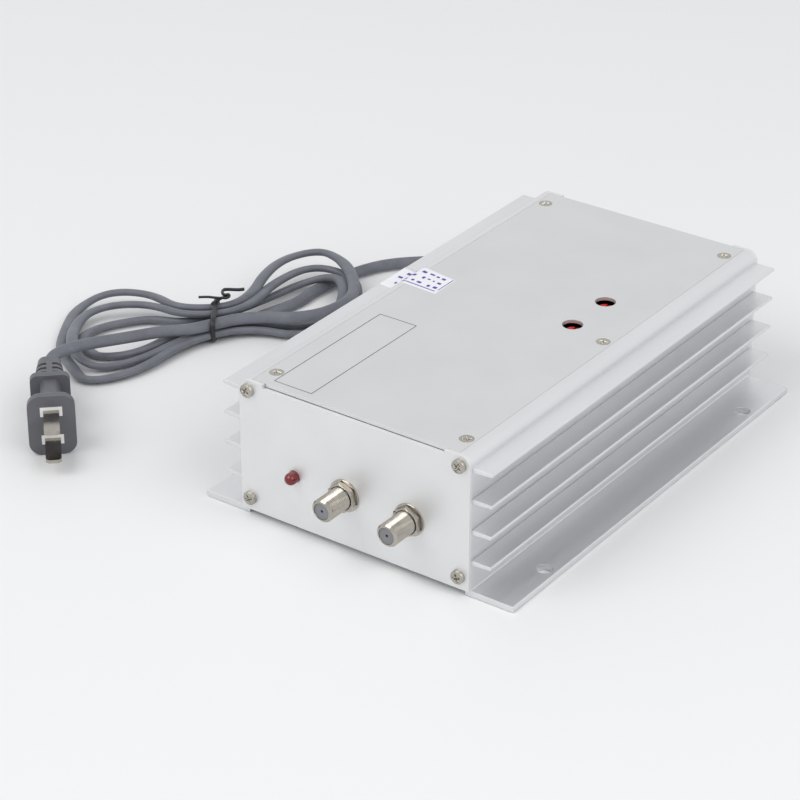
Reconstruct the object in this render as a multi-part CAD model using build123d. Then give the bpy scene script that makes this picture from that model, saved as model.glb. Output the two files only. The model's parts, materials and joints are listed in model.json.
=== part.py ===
from build123d import *
import math
import os

# A cable television signal amplifier: a finned aluminium extrusion with a let-in cover, threaded
# coaxial connectors at both ends, two trimmers under holes in the cover, and a mains cord in a hank.
# X runs across the case, Y runs along it with the front at -Y, and Z is up.
# The origin is on the surface that the case stands on, under the middle of the case.

# Fits that several pieces share
overrun = 1.0
slip_gap = 0.1
thread_gap = 0.05
shaft_gap = 0.06
thrust_gap = 0.15
tiny = 0.001

# Extruded housing
housing_length = 208.0
housing_height = 60.0
body_width = 107.0
foot_width = 145.0
wall = 2.5
foot_thickness = 2.5
foot_edge_radius = 0.5
floor_lift = 2.7
floor_thickness = 2.5
corner_radius = 4.6
cover_width = 96.0
cover_thickness = 1.5
ledge_width = 6.0
ledge_depth = 10.0
ledge_slope = 3.0
fin_count = 4
fin_pitch = 13.2
fin_reach = 8.8
fin_root_thickness = 2.0
fin_tip_thickness = 1.4
fin_root_radius = 0.6
fin_tip_radius = 0.5
foot_hole = 6.5
foot_hole_span_x = 134.6
foot_hole_span_y = 150.0
screw_boss = 7.0
screw_channel_slot = 1.4

# Metric screws of the case
screw_thread = 3.0
screw_core = 2.5
screw_pass_gap = 0.15
pan_head = 5.6
pan_head_height = 2.2
pan_head_crown = 1.2
flat_head = 5.8
flat_head_depth = 1.45
cover_screw_length = 6.0
cover_screw_span_x = 88.0
cover_screw_end_inset = 10.0
cover_screw_rows = 3
plate_screw_length = 9.0
plate_screw_span_x = 98.0
plate_screw_top_drop = 4.3
plate_screw_rise = 8.2

# Cover and end plates
cover_end_gap = 0.2
access_hole = 8.4
plate_thickness = 1.5
port_height = 24.8
test_port_x = -3.5
main_port_x = 26.5
lamp_x = -27.5
cord_x = -30.0

# Coaxial connector
barrel = 9.5
barrel_reach = 14.8
barrel_neck = 8.9
barrel_neck_past_nut = 0.2
barrel_tip = 7.6
barrel_tip_length = 0.9
barrel_bore = 6.8
barrel_back = 8.0
barrel_back_length = 6.0
shoulder = 12.6
shoulder_thickness = 2.5
connector_washer = 13.5
connector_washer_thickness = 0.6
connector_nut_flats = 11.0
connector_nut_thickness = 2.5
insulator_recess = 0.4
contact = 2.2
contact_socket = 1.2
contact_socket_depth = 8.0
contact_tail = 0.9
contact_tail_run = 2.4

# Indicator lamp
lamp = 5.0
lamp_reach = 4.7
lamp_rim = 5.8
lamp_rim_thickness = 1.0
lamp_leg = 0.5
lamp_leg_pitch = 2.54
lamp_leg_run = 7.0

# Circuit board
board_width = 98.0
board_length = 196.0
board_thickness = 1.6
standoff_height = 10.0
standoff_flats = 5.5
standoff_span_x = 84.0
standoff_span_y = 176.0
standoff_rows = 3
standoff_stud_length = 2.2
board_screw_length = 6.0

# Trimmers
trimmer_x = 26.5
tilt_y = 5.2
attenuator_y = 29.6
pot_side = 14.0
pot_height = 9.0
pot_corner_radius = 1.5
journal = 5.0
journal_length = 6.0
shaft = 7.0
shaft_drop = 2.5
shaft_slot_width = 1.1
shaft_slot_depth = 1.2
shaft_edge_radius = 0.6
pot_tab_width = 1.2
pot_tab_thickness = 0.5
pot_tab_height = 3.0
pot_tab_pitch = 4.0

# Mains transformer
core_width = 41.0
core_headroom = 7.3
core_thickness = 17.0
core_leg = 6.8
transformer_x = -24.0
transformer_y = 60.0
bobbin_wall = 1.0
bobbin_overhang = 6.0
winding_inset = 0.6

# Mains side
terminal_width = 15.0
terminal_depth = 9.0
terminal_height = 13.0
terminal_y = 85.0
terminal_pitch = 5.0
terminal_screw = 3.4
terminal_screw_drop = 0.8
mains_wire = 1.9
fuse_length = 20.0
fuse = 5.2
fuse_cap_length = 5.4
fuse_x = 8.0
fuse_y = 84.0
fuse_lift = 3.2
clip_length = 5.0
clip_thickness = 0.5
bridge_side = 15.0
bridge_thickness = 4.6
bridge_height = 11.0
bridge_x = 14.0
bridge_y = 60.0
main_can = 16.0
main_can_height = 26.0
main_can_x = 34.0
second_can = 13.0
second_can_height = 21.0
second_can_y = 82.0
capacitor_edge_radius = 0.8

# Amplifier module on the floor of the housing
module_length = 44.8
module_width = 14.8
module_flange_thickness = 3.0
module_screw_room = 1.75
module_body_height = 20.8
module_hole_span = 38.1
module_x = -15.0
module_y = -18.0
module_window_gap = 1.2
module_pin = 0.6
module_pin_count = 9
module_pin_pitch = 2.54

# Voltage regulator on the side wall
regulator_y = 18.0
regulator_width = 10.2
regulator_tab_height = 16.0
regulator_tab_thickness = 1.3
regulator_body_height = 9.2
regulator_body_thickness = 3.2
regulator_lift = 20.0
regulator_leg = 0.7
regulator_leg_pitch = 2.54
regulator_hole_drop = 3.0
wall_tap_depth = 2.0
regulator_screw_head_height = 1.9

# Tinplate shield between the mains side and the signal side
shield_y = 42.0
shield_width = 84.0
shield_height = 24.0
shield_thickness = 0.6
shield_foot = 5.0

# Signal parts on the board
ferrite_width = 7.0
ferrite_length = 6.0
ferrite_height = 4.2
ferrite_hole = 1.6
ferrite_hole_pitch = 3.3
ferrite_wire = 1.2
ferrite_wire_bend = 1.4
small_capacitor = 6.3
small_capacitor_height = 11.0

# Cord gland
gland_flange = 17.0
gland_flange_thickness = 2.5
gland_neck = 12.8
gland_inner_flange = 14.6
gland_inner_thickness = 2.0
gland_tail_root = 10.6
gland_tail_tip = 6.4
gland_tail_length = 22.5
gland_groove_width = 1.5
gland_groove_depth = 1.0
gland_groove_count = 3

# Mains cord, tied in a hank beside the case
cord = 4.2
layer_step = 4.65
cord_end_run = 7.5
tie_width = 2.2
tie_thickness = 0.9
tie_gap = 0.3
tie_side_gap = 0.6
tie_wire = 1.4
tie_wire_bend = 1.2
hank_x = -156.0
hank_y = 4.0
hank_angle = 58.5
hank_bend_radius = 145.0
hank_turns = 3

# Mains plug, lying with its blades towards the front
plug_face_x = -143.6
plug_face_y = -114.8
plug_angle = -47.0
plug_width = 19.3
plug_height = 26.7
plug_corner_radius = 5.5
plug_flange_thickness = 4.5
plug_neck_root_width = 14.4
plug_neck_width = 8.8
plug_neck_height = 16.0
plug_neck_end = 24.8
plug_collar_width = 16.4
plug_collar_height = 19.0
plug_collar_corner_radius = 3.0
plug_collar_end = 29.5
plug_relief_width = 14.6
plug_relief_height = 13.6
plug_relief_tip_width = 9.6
plug_relief_tip_height = 10.4
plug_relief_end = 50.0
plug_relief_slots = 3
plug_slot_width = 1.9
plug_slot_pitch = 4.3
plug_slot_start = 3.4
plug_slot_core = 6.4
plug_slot_rib = 2.4
blade_width = 6.35
blade_thickness = 1.5
blade_reach = 18.3
blade_root = 6.0
blade_pitch = 12.7
blade_tip_taper = 1.2
insert_margin = 1.3
insert_depth = 1.2
insert_proud = 0.3

# Sizes that follow from the ones above
tapped_hole = screw_core + 2 * thread_gap
screw_pass_hole = screw_thread + 2 * screw_pass_gap
body_half = body_width / 2
inner_half = body_half - wall
cover_half = cover_width / 2
ledge_inner = cover_half - ledge_width
cover_seat = housing_height - cover_thickness
plate_notch = cover_seat - slip_gap
floor_top = floor_lift + floor_thickness
first_fin_top = housing_height - corner_radius
half_length = housing_length / 2
plate_screw_x = plate_screw_span_x / 2
plate_screw_top = housing_height - plate_screw_top_drop
plate_face = half_length + plate_thickness
board_under = floor_top + standoff_height
board_top = board_under + board_thickness
shaft_top = housing_height - shaft_drop
pot_top = board_top + pot_height
core_height = cover_seat - core_headroom - board_top
module_body_length = module_hole_span - pan_head - 2 * module_screw_room
gland_tail_end = plate_face + gland_flange_thickness + gland_tail_length
plug_centre_height = plug_height / 2
waist_lift = tie_thickness + tie_gap
cord_radius = cord / 2
plug_tail_x = plug_face_x - plug_relief_end * math.cos(math.radians(plug_angle))
plug_tail_y = plug_face_y - plug_relief_end * math.sin(math.radians(plug_angle))


def span(x0, x1, y0, y1):
    """A flat rectangle from one corner to the other."""
    return Pos((x0 + x1) / 2, (y0 + y1) / 2) * Rectangle(x1 - x0, y1 - y0)


def brick(x0, x1, y0, y1, z0, z1):
    """A box from one corner to the other."""
    return Pos((x0 + x1) / 2, (y0 + y1) / 2, (z0 + z1) / 2) * Box(x1 - x0, y1 - y0, z1 - z0)


def turned(outline, origin=(0, 0, 0), direction=(0, 0, 1)):
    """A turned piece: points of radius and height, set with its axis along the direction."""
    face = Plane.XZ * Polygon(*outline, align=None)
    piece = revolve(face, axis=Axis.Z)
    return Plane(origin=origin, z_dir=direction) * piece


def rod(diameter, length, origin, direction):
    """A plain round rod from the origin along the direction."""
    return turned([(0, 0), (diameter / 2, 0), (diameter / 2, length), (0, length)], origin, direction)


def group(pieces):
    """Like pieces kept as separate solids in one node."""
    return Compound(children=[solid for piece in pieces for solid in piece.solids()])


def mirrored_pair(value):
    return (-value, value)


def housing_profile():
    """Right half of the extrusion's section, mirrored to the left."""
    fin_tip_x = body_half + fin_reach
    profile = Polygon(
        (inner_half, 0),
        (body_half, 0),
        (body_half, housing_height),
        (cover_half, housing_height),
        (cover_half, cover_seat),
        (ledge_inner, cover_seat),
        (ledge_inner, housing_height - ledge_depth + ledge_slope),
        (inner_half, housing_height - ledge_depth),
        align=None,
    )
    corner = profile.vertices().sort_by_distance((body_half, housing_height, 0))[0]
    profile = fillet(corner, corner_radius)
    profile += span(0, inner_half, floor_lift, floor_top)
    profile += span(inner_half, foot_width / 2, 0, foot_thickness)
    profile += Pos(plate_screw_x, plate_screw_rise) * Circle(screw_boss / 2)
    for index in range(fin_count):
        top = first_fin_top - index * fin_pitch
        profile += Polygon(
            (body_half, top),
            (fin_tip_x, top),
            (fin_tip_x, top - fin_tip_thickness),
            (body_half, top - fin_root_thickness),
            align=None,
        )
    tips = [v for v in profile.vertices() if abs(v.X - fin_tip_x) < tiny]
    profile = fillet(tips, fin_tip_radius)
    roots = [v for v in profile.vertices()
             if abs(v.X - body_half) < tiny and foot_thickness - tiny < v.Y < first_fin_top - tiny]
    profile = fillet(roots, fin_root_radius)
    edges = [v for v in profile.vertices() if abs(v.X - foot_width / 2) < tiny]
    profile = fillet(edges, foot_edge_radius)
    slot_half = screw_channel_slot / 2
    for height, end in ((plate_screw_top, housing_height - ledge_depth - overrun),
                        (plate_screw_rise, plate_screw_rise + screw_boss / 2 + overrun)):
        profile -= Pos(plate_screw_x, height) * Circle(tapped_hole / 2)
        profile -= span(plate_screw_x - slot_half, plate_screw_x + slot_half, min(height, end), max(height, end))
    return profile + mirror(profile, about=Plane.YZ)


def cover_screw_places():
    last = half_length - cover_screw_end_inset
    rows = [-last + 2 * last * row / (cover_screw_rows - 1) for row in range(cover_screw_rows)]
    return [(x, y) for x in mirrored_pair(cover_screw_span_x / 2) for y in rows]


def standoff_places():
    rows = [standoff_span_y * (row / (standoff_rows - 1) - 0.5) for row in range(standoff_rows)]
    return [(x, y) for x in mirrored_pair(standoff_span_x / 2) for y in rows]


def module_screw_places():
    return [(module_x, module_y + dy) for dy in mirrored_pair(module_hole_span / 2)]


def heatsink_housing():
    """The extrusion, cut to length and drilled."""
    body = extrude(Plane.XZ * housing_profile(), amount=half_length, both=True)
    drill = Cylinder(foot_hole / 2, 2 * (foot_thickness + overrun))
    for x in mirrored_pair(foot_hole_span_x / 2):
        for y in mirrored_pair(foot_hole_span_y / 2):
            body -= Pos(x, y, 0) * drill
    up = (0, 0, 1)
    for x, y in cover_screw_places():
        body -= rod(tapped_hole, ledge_depth, (x, y, cover_seat - ledge_depth), up)
    for x, y in standoff_places() + module_screw_places():
        body -= rod(tapped_hole, floor_thickness + 2 * overrun, (x, y, floor_lift - overrun), up)
    tap = (-inner_half, regulator_y, regulator_hole_height())
    body -= rod(tapped_hole, wall_tap_depth, tap, (-1, 0, 0))
    return body


def top_cover():
    """The flat cover, with countersunk screw holes and two holes over the trimmers."""
    half_width = cover_half - slip_gap
    half_cover = half_length - cover_end_gap
    cover = brick(-half_width, half_width, -half_cover, half_cover, cover_seat, housing_height)
    sink_radius = flat_head / 2 + slip_gap
    hole_radius = screw_pass_hole / 2
    sink_drop = (sink_radius - hole_radius) * flat_head_depth / (flat_head / 2 - screw_core / 2)
    sink = [(0, 0), (sink_radius, 0), (hole_radius, -sink_drop), (hole_radius, -2 * cover_thickness),
            (0, -2 * cover_thickness)]
    for x, y in cover_screw_places():
        cover -= turned(sink, (x, y, housing_height))
    for y in (tilt_y, attenuator_y):
        cover -= Pos(trimmer_x, y, housing_height) * Cylinder(access_hole / 2, 4 * cover_thickness)
    return cover


def top_cover_screws():
    outline = [(0, 0), (flat_head / 2, 0), (screw_core / 2, -flat_head_depth),
               (screw_core / 2, -cover_screw_length), (0, -cover_screw_length)]
    return group([turned(outline, (x, y, housing_height)) for x, y in cover_screw_places()])


def pan_screw(length, head_height=pan_head_height):
    """A pan head screw with its seat at the origin and its head along +Z."""
    head = Pos(0, 0, head_height / 2) * Cylinder(pan_head / 2, head_height)
    head = fillet(head.edges().group_by(Axis.Z)[-1], pan_head_crown)
    return head + Pos(0, 0, -length / 2) * Cylinder(screw_core / 2, length)


def end_plate(side, ports):
    """An end plate on the given side, with its ports as pairs of x and hole size."""
    sketch = Polygon(
        (-body_half, floor_lift), (body_half, floor_lift), (body_half, housing_height),
        (ledge_inner, housing_height), (ledge_inner, plate_notch),
        (-ledge_inner, plate_notch), (-ledge_inner, housing_height), (-body_half, housing_height),
        align=None,
    )
    corners = [v for v in sketch.vertices()
               if abs(abs(v.X) - body_half) < tiny and v.Y > housing_height - tiny]
    sketch = fillet(corners, corner_radius)
    for x in mirrored_pair(plate_screw_x):
        for z in (plate_screw_rise, plate_screw_top):
            sketch -= Pos(x, z) * Circle(screw_pass_hole / 2)
    for x, size in ports:
        sketch -= Pos(x, port_height) * Circle(size / 2)
    plate = extrude(Plane.XZ * sketch, amount=plate_thickness / 2, both=True)
    return Pos(0, side * (half_length + plate_thickness / 2), 0) * plate


def plate_screws(side):
    screw = pan_screw(plate_screw_length)
    return group([Plane(origin=(x, side * plate_face, z), z_dir=(0, side, 0)) * screw
                  for x in mirrored_pair(plate_screw_x) for z in (plate_screw_rise, plate_screw_top)])


def connector_places():
    return [(x, side) for side in (-1, 1) for x in (test_port_x, main_port_x)]


def connector(x, side):
    """A threaded coaxial connector, put in from inside the plate, relieved where the nut has run up."""
    tip = plate_thickness + barrel_reach
    neck_end = plate_thickness + connector_washer_thickness + connector_nut_thickness + barrel_neck_past_nut
    outline = [(barrel_bore / 2, -shoulder_thickness - barrel_back_length),
               (barrel_back / 2, -shoulder_thickness - barrel_back_length),
               (barrel_back / 2, -shoulder_thickness), (shoulder / 2, -shoulder_thickness),
               (shoulder / 2, 0), (barrel_neck / 2, 0), (barrel_neck / 2, neck_end),
               (barrel / 2, neck_end), (barrel / 2, tip - barrel_tip_length),
               (barrel_tip / 2, tip), (barrel_bore / 2, tip)]
    return turned(outline, (x, side * half_length, port_height), (0, side, 0))


def connector_ring(x, side, flats, thickness, start, sides=0):
    """A washer or a hexagon nut on the barrel, starting above the plate's face."""
    if sides:
        outside = RegularPolygon(flats / 2, sides, major_radius=False)
    else:
        outside = Circle(flats / 2)
    ring = extrude(outside - Circle(barrel / 2 + thread_gap), amount=thickness)
    place = (x, side * (plate_face + start), port_height)
    return Plane(origin=place, x_dir=(1, 0, 0), z_dir=(0, side, 0)) * ring


def connector_nuts():
    return group([connector_ring(x, side, connector_nut_flats, connector_nut_thickness,
                                 connector_washer_thickness, sides=6) for x, side in connector_places()])


def connector_washers():
    return group([connector_ring(x, side, connector_washer, connector_washer_thickness, 0)
                  for x, side in connector_places()])


def connector_insulators():
    back = -shoulder_thickness - barrel_back_length
    front = plate_thickness + barrel_reach - insulator_recess
    outline = [(contact / 2, back), (barrel_bore / 2, back), (barrel_bore / 2, front), (contact_socket / 2, front),
               (contact_socket / 2, front - insulator_recess), (contact / 2, front - insulator_recess)]
    return group([turned(outline, (x, side * half_length, port_height), (0, side, 0))
                  for x, side in connector_places()])


def connector_contacts():
    """Socket contacts whose tails bend down to the board."""
    back = -shoulder_thickness - barrel_back_length
    front = plate_thickness + barrel_reach - 2 * insulator_recess
    socket_end = front - contact_socket_depth
    outline = [(0, back), (contact / 2, back), (contact / 2, front), (contact_socket / 2, front),
               (contact_socket / 2, socket_end), (0, socket_end)]
    pieces = []
    for x, side in connector_places():
        tube = turned(outline, (x, side * half_length, port_height), (0, side, 0))
        tail_y = side * (half_length + back - contact_tail_run)
        path = FilletPolyline((x, side * (half_length + back), port_height), (x, tail_y, port_height),
                              (x, tail_y, board_top), radius=contact_tail)
        section = Plane(origin=path @ 0, z_dir=path % 0) * Circle(contact_tail / 2)
        pieces.append(tube + sweep(section, path=path))
    return group(pieces)


def power_led():
    """The indicator lamp, pushed through the front plate from behind."""
    reach = plate_thickness + lamp_reach
    radius = lamp / 2
    with BuildSketch(Plane.XZ) as section:
        with BuildLine():
            Polyline((0, reach), (0, -lamp_rim_thickness), (lamp_rim / 2, -lamp_rim_thickness),
                     (lamp_rim / 2, 0), (radius, 0), (radius, reach - radius))
            RadiusArc((radius, reach - radius), (0, reach), -radius)
        make_face()
    piece = revolve(section.sketch, axis=Axis.Z)
    return Plane(origin=(lamp_x, -half_length, port_height), z_dir=(0, -1, 0)) * piece


def led_leads():
    start = -half_length + lamp_rim_thickness
    pieces = []
    for dx in mirrored_pair(lamp_leg_pitch / 2):
        x = lamp_x + dx
        leg = brick(x - lamp_leg / 2, x + lamp_leg / 2, start, start + lamp_leg_run,
                    port_height - lamp_leg / 2, port_height + lamp_leg / 2)
        leg += brick(x - lamp_leg / 2, x + lamp_leg / 2, start + lamp_leg_run - lamp_leg,
                     start + lamp_leg_run, board_top, port_height)
        pieces.append(leg)
    return group(pieces)


def circuit_board():
    """The board, with a window for the amplifier module and holes for its screws."""
    half_x = board_width / 2
    half_y = board_length / 2
    board = brick(-half_x, half_x, -half_y, half_y, board_under, board_top)
    window_x = module_width / 2 + module_window_gap
    window_y = module_length / 2 + module_window_gap
    board -= brick(module_x - window_x, module_x + window_x, module_y - window_y, module_y + window_y,
                   board_under - overrun, board_top + overrun)
    for x, y in standoff_places():
        board -= rod(screw_pass_hole, board_thickness + 2 * overrun, (x, y, board_under - overrun), (0, 0, 1))
    return board


def board_standoffs():
    """Hexagon pillars with a stud in the floor and a tapped hole in the top."""
    pillar = extrude(RegularPolygon(standoff_flats / 2, 6, major_radius=False), amount=standoff_height)
    pillar += Pos(0, 0, -standoff_stud_length / 2) * Cylinder(screw_core / 2, standoff_stud_length)
    pillar -= rod(tapped_hole, board_screw_length + overrun,
                  (0, 0, standoff_height - board_screw_length), (0, 0, 1))
    return group([Pos(x, y, floor_top) * pillar for x, y in standoff_places()])


def board_screws():
    screw = pan_screw(board_screw_length)
    return group([Pos(x, y, board_top) * screw for x, y in standoff_places()])


def trimmer_pot(y):
    """The body of a trimmer, open at the top for its shaft."""
    side = Rectangle(pot_side, pot_side)
    side = fillet(side.vertices(), pot_corner_radius)
    body = Pos(trimmer_x, y, board_top) * extrude(side, amount=pot_height)
    bore_depth = journal_length + thrust_gap
    body -= rod(journal + 2 * shaft_gap, bore_depth + overrun, (trimmer_x, y, pot_top - bore_depth), (0, 0, 1))
    return body


def trimmer_shaft(y):
    """A plastic shaft with a journal in the trimmer's body and a cross slot at its top."""
    seat = pot_top + thrust_gap
    outline = [(0, seat - journal_length), (journal / 2, seat - journal_length), (journal / 2, seat),
               (shaft / 2, seat), (shaft / 2, shaft_top - shaft_edge_radius),
               (shaft / 2 - shaft_edge_radius, shaft_top), (0, shaft_top)]
    piece = turned(outline, (trimmer_x, y, 0))
    half = shaft_slot_width / 2
    bottom = shaft_top - shaft_slot_depth
    top = shaft_top + overrun
    piece -= brick(trimmer_x - shaft, trimmer_x + shaft, y - half, y + half, bottom, top)
    piece -= brick(trimmer_x - half, trimmer_x + half, y - shaft, y + shaft, bottom, top)
    return piece


def pot_terminals():
    """Three solder tabs on the inner side of each trimmer's body."""
    edge = trimmer_x - pot_side / 2
    return group([brick(edge - pot_tab_thickness, edge, y + step * pot_tab_pitch - pot_tab_width / 2,
                        y + step * pot_tab_pitch + pot_tab_width / 2, board_top, board_top + pot_tab_height)
                  for y in (tilt_y, attenuator_y) for step in (-1, 0, 1)])


def transformer_window():
    """Inner and outer x, and the two z levels, of the windows in the core."""
    outer = core_width / 2 - core_leg
    return core_leg, outer, board_top + core_leg, board_top + core_height - core_leg


def transformer_core():
    """The laminated core, a frame with a centre leg."""
    inner, outer, low, high = transformer_window()
    half_y = core_thickness / 2
    core = brick(-core_width / 2, core_width / 2, -half_y, half_y, board_top, board_top + core_height)
    for side in (-1, 1):
        ends = sorted((side * inner, side * outer))
        core -= brick(ends[0], ends[1], -half_y - overrun, half_y + overrun, low, high)
    return Pos(transformer_x, transformer_y, 0) * core


def transformer_sleeve(reach, low, high, hole_margin):
    """A rectangular sleeve round the centre leg."""
    hole_x = core_leg + hole_margin
    hole_y = core_thickness / 2 + hole_margin
    sleeve = brick(-core_leg - reach, core_leg + reach, -core_thickness / 2 - reach,
                   core_thickness / 2 + reach, low, high)
    return sleeve - brick(-hole_x, hole_x, -hole_y, hole_y, low - overrun, high + overrun)


def transformer_bobbin():
    """The coil former: a sleeve with three flanges."""
    inner, outer, low, high = transformer_window()
    bottom = low + slip_gap
    top = high - slip_gap
    bobbin = transformer_sleeve(slip_gap + bobbin_wall, bottom, top, slip_gap)
    reach = outer - inner - slip_gap
    for share in (0, 0.5, 1):
        start = bottom + (top - bottom - bobbin_wall) * share
        bobbin += transformer_sleeve(reach, start, start + bobbin_wall, slip_gap)
    return Pos(transformer_x, transformer_y, 0) * bobbin


def transformer_windings():
    """The mains winding and the low voltage winding, one above the other."""
    inner, outer, low, high = transformer_window()
    middle = (low + high) / 2
    reach = outer - inner - slip_gap - winding_inset
    margin = slip_gap + bobbin_wall
    pieces = [transformer_sleeve(reach, low + margin, middle - bobbin_wall / 2, margin),
              transformer_sleeve(reach, middle + bobbin_wall / 2, high - margin, margin)]
    return group([Pos(transformer_x, transformer_y, 0) * piece for piece in pieces])


def mains_terminal():
    """A screw terminal block with a wire hole and a screw well for each way."""
    half_x = terminal_width / 2
    half_y = terminal_depth / 2
    block = brick(cord_x - half_x, cord_x + half_x, terminal_y - half_y, terminal_y + half_y,
                  board_top, board_top + terminal_height)
    for dx in mirrored_pair(terminal_pitch / 2):
        block -= rod(terminal_screw, terminal_screw_drop + overrun,
                     (cord_x + dx, terminal_y, board_top + terminal_height - terminal_screw_drop), (0, 0, 1))
        block -= rod(mains_wire + 2 * slip_gap, half_y + overrun, (cord_x + dx, terminal_y, port_height), (0, 1, 0))
    return block


def mains_leads():
    """The two inner conductors, from the gland to the terminal block."""
    gland_inside = half_length - gland_inner_thickness
    return group([rod(mains_wire, gland_inside - terminal_y, (cord_x + dx, terminal_y, port_height), (0, 1, 0))
                  for dx in mirrored_pair(terminal_pitch / 2)])


def fuse_axis_height():
    return board_top + fuse_lift + clip_thickness + fuse / 2


def mains_fuse():
    start = fuse_y - fuse_length / 2
    glass = fuse / 2 - clip_thickness / 2
    ends = fuse / 2
    outline = [(0, 0), (ends, 0), (ends, fuse_cap_length), (glass, fuse_cap_length),
               (glass, fuse_length - fuse_cap_length), (ends, fuse_length - fuse_cap_length),
               (ends, fuse_length), (0, fuse_length)]
    return turned(outline, (fuse_x, start, fuse_axis_height()), (0, 1, 0))


def fuse_clips():
    """Spring clips that hold the fuse by its caps."""
    radius = fuse / 2
    opening = radius / 2
    ring = Circle(radius + clip_thickness) - Circle(radius)
    ring -= span(-radius - overrun, radius + overrun, opening, 2 * radius)
    foot_top = -radius - clip_thickness / 2
    ring += span(-radius, radius, foot_top - fuse_lift - clip_thickness / 2, foot_top) - Circle(radius)
    clip = extrude(Plane.XZ * ring, amount=clip_length / 2, both=True)
    offset = fuse_length / 2 - clip_length / 2
    return group([Pos(fuse_x, fuse_y + dy, fuse_axis_height()) * clip for dy in mirrored_pair(offset)])


def bridge_rectifier():
    """A flat bridge rectifier that stands on its four legs' shoulders."""
    half = bridge_side / 2
    face = Polygon((-half, 0), (half, 0), (half, bridge_height), (-half + bridge_thickness, bridge_height),
                   (-half, bridge_height - bridge_thickness), align=None)
    return Pos(bridge_x, bridge_y, board_top) * extrude(Plane.XZ * face, amount=bridge_thickness / 2, both=True)


def can(x, y, diameter, height):
    """An electrolytic capacitor on the board, with a rolled top edge."""
    piece = Pos(x, y, board_top + height / 2) * Cylinder(diameter / 2, height)
    return fillet(piece.edges().group_by(Axis.Z)[-1], capacitor_edge_radius)


def filter_capacitors():
    return group([can(main_can_x, bridge_y, main_can, main_can_height),
                  can(main_can_x, second_can_y, second_can, second_can_height)])


# Places of the small parts, as shares of half the board's width and half its length
small_can_place_shares = ((-0.78, -0.61), (-0.78, -0.37), (0.16, -0.45), (0.78, -0.2), (0.78, -0.51), (0.08, 0.27))
ferrite_place_shares = ((-0.07, -0.78), (0.54, -0.78), (0.29, -0.2), (-0.69, -0.1))


def board_places(shares):
    return [(share_x * board_width / 2, share_y * board_length / 2) for share_x, share_y in shares]


def small_capacitors():
    return group([can(x, y, small_capacitor, small_capacitor_height)
                  for x, y in board_places(small_can_place_shares)])


def ferrite_transformers():
    """Two-hole ferrite cores, each with a loop of wire through it."""
    core = Pos(0, 0, ferrite_height / 2) * Box(ferrite_width, ferrite_length, ferrite_height)
    core = fillet(core.edges().filter_by(Axis.Y), ferrite_height / 4)
    for dx in mirrored_pair(ferrite_hole_pitch / 2):
        core -= Pos(dx, 0, ferrite_height / 2) * Rot(90, 0, 0) * Cylinder(ferrite_hole / 2, ferrite_length + overrun)
    return group([Pos(x, y, board_top) * core for x, y in board_places(ferrite_place_shares)])


def ferrite_windings():
    """The wire loops of the ferrite cores."""
    reach = ferrite_length / 2 + ferrite_wire
    half = ferrite_hole_pitch / 2
    path = FilletPolyline((-half, -reach, 0), (-half, reach, 0), (half, reach, 0), (half, -reach, 0),
                          radius=ferrite_wire_bend)
    section = Plane(origin=path @ 0, z_dir=path % 0) * Circle(ferrite_wire / 2)
    loop = sweep(section, path=path)
    return group([Pos(x, y, board_top + ferrite_height / 2) * loop
                  for x, y in board_places(ferrite_place_shares)])


def amplifier_module():
    """The hybrid amplifier on its flange, with a row of pins that stop over the board's window."""
    half_x = module_width / 2
    half_y = module_length / 2
    flange_top = floor_top + module_flange_thickness
    piece = brick(-half_x, half_x, -half_y, half_y, floor_top, flange_top)
    body_half_y = module_body_length / 2
    piece += brick(-half_x, half_x, -body_half_y, body_half_y, flange_top, floor_top + module_body_height)
    for dy in mirrored_pair(module_hole_span / 2):
        piece -= Pos(0, dy, floor_top) * Cylinder(screw_pass_hole / 2, 4 * module_flange_thickness)
    return Pos(module_x, module_y, 0) * piece


def module_pins():
    """Pins from the module's side out over the board, bent down to it."""
    start = module_x + module_width / 2
    end = start + module_window_gap + module_pin_pitch
    level = board_top + module_pin_pitch
    pieces = []
    for index in range(module_pin_count):
        y = module_y + (index - (module_pin_count - 1) / 2) * module_pin_pitch
        pin = brick(start, end, y - module_pin / 2, y + module_pin / 2, level, level + module_pin)
        pin += brick(end - module_pin, end, y - module_pin / 2, y + module_pin / 2, board_top, level)
        pieces.append(pin)
    return group(pieces)


def module_screws():
    screw = pan_screw(module_flange_thickness + floor_thickness)
    seat = floor_top + module_flange_thickness
    return group([Pos(x, y, seat) * screw for x, y in module_screw_places()])


def regulator_hole_height():
    return board_top + regulator_lift - regulator_hole_drop


def voltage_regulator():
    """The regulator, with its tab against the left wall and its legs down to the board."""
    back = -inner_half
    top = board_top + regulator_lift
    half = regulator_width / 2
    low = top - regulator_tab_height
    piece = brick(back, back + regulator_tab_thickness, regulator_y - half, regulator_y + half, low, top)
    thickness = regulator_tab_thickness + regulator_body_thickness
    piece += brick(back, back + thickness, regulator_y - half, regulator_y + half, low, low + regulator_body_height)
    piece -= Pos(back, regulator_y, regulator_hole_height()) * Rot(0, 90, 0) * Cylinder(
        screw_pass_hole / 2, 4 * regulator_tab_thickness)
    leg_x = back + regulator_tab_thickness + regulator_body_thickness / 2
    for step in (-1, 0, 1):
        y = regulator_y + step * regulator_leg_pitch
        piece += brick(leg_x, leg_x + regulator_leg, y - regulator_leg / 2, y + regulator_leg / 2, board_top, low)
    return piece


def regulator_screw():
    seat = -inner_half + regulator_tab_thickness
    screw = pan_screw(regulator_tab_thickness + wall_tap_depth - slip_gap, regulator_screw_head_height)
    return Plane(origin=(seat, regulator_y, regulator_hole_height()), z_dir=(1, 0, 0)) * screw


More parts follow.
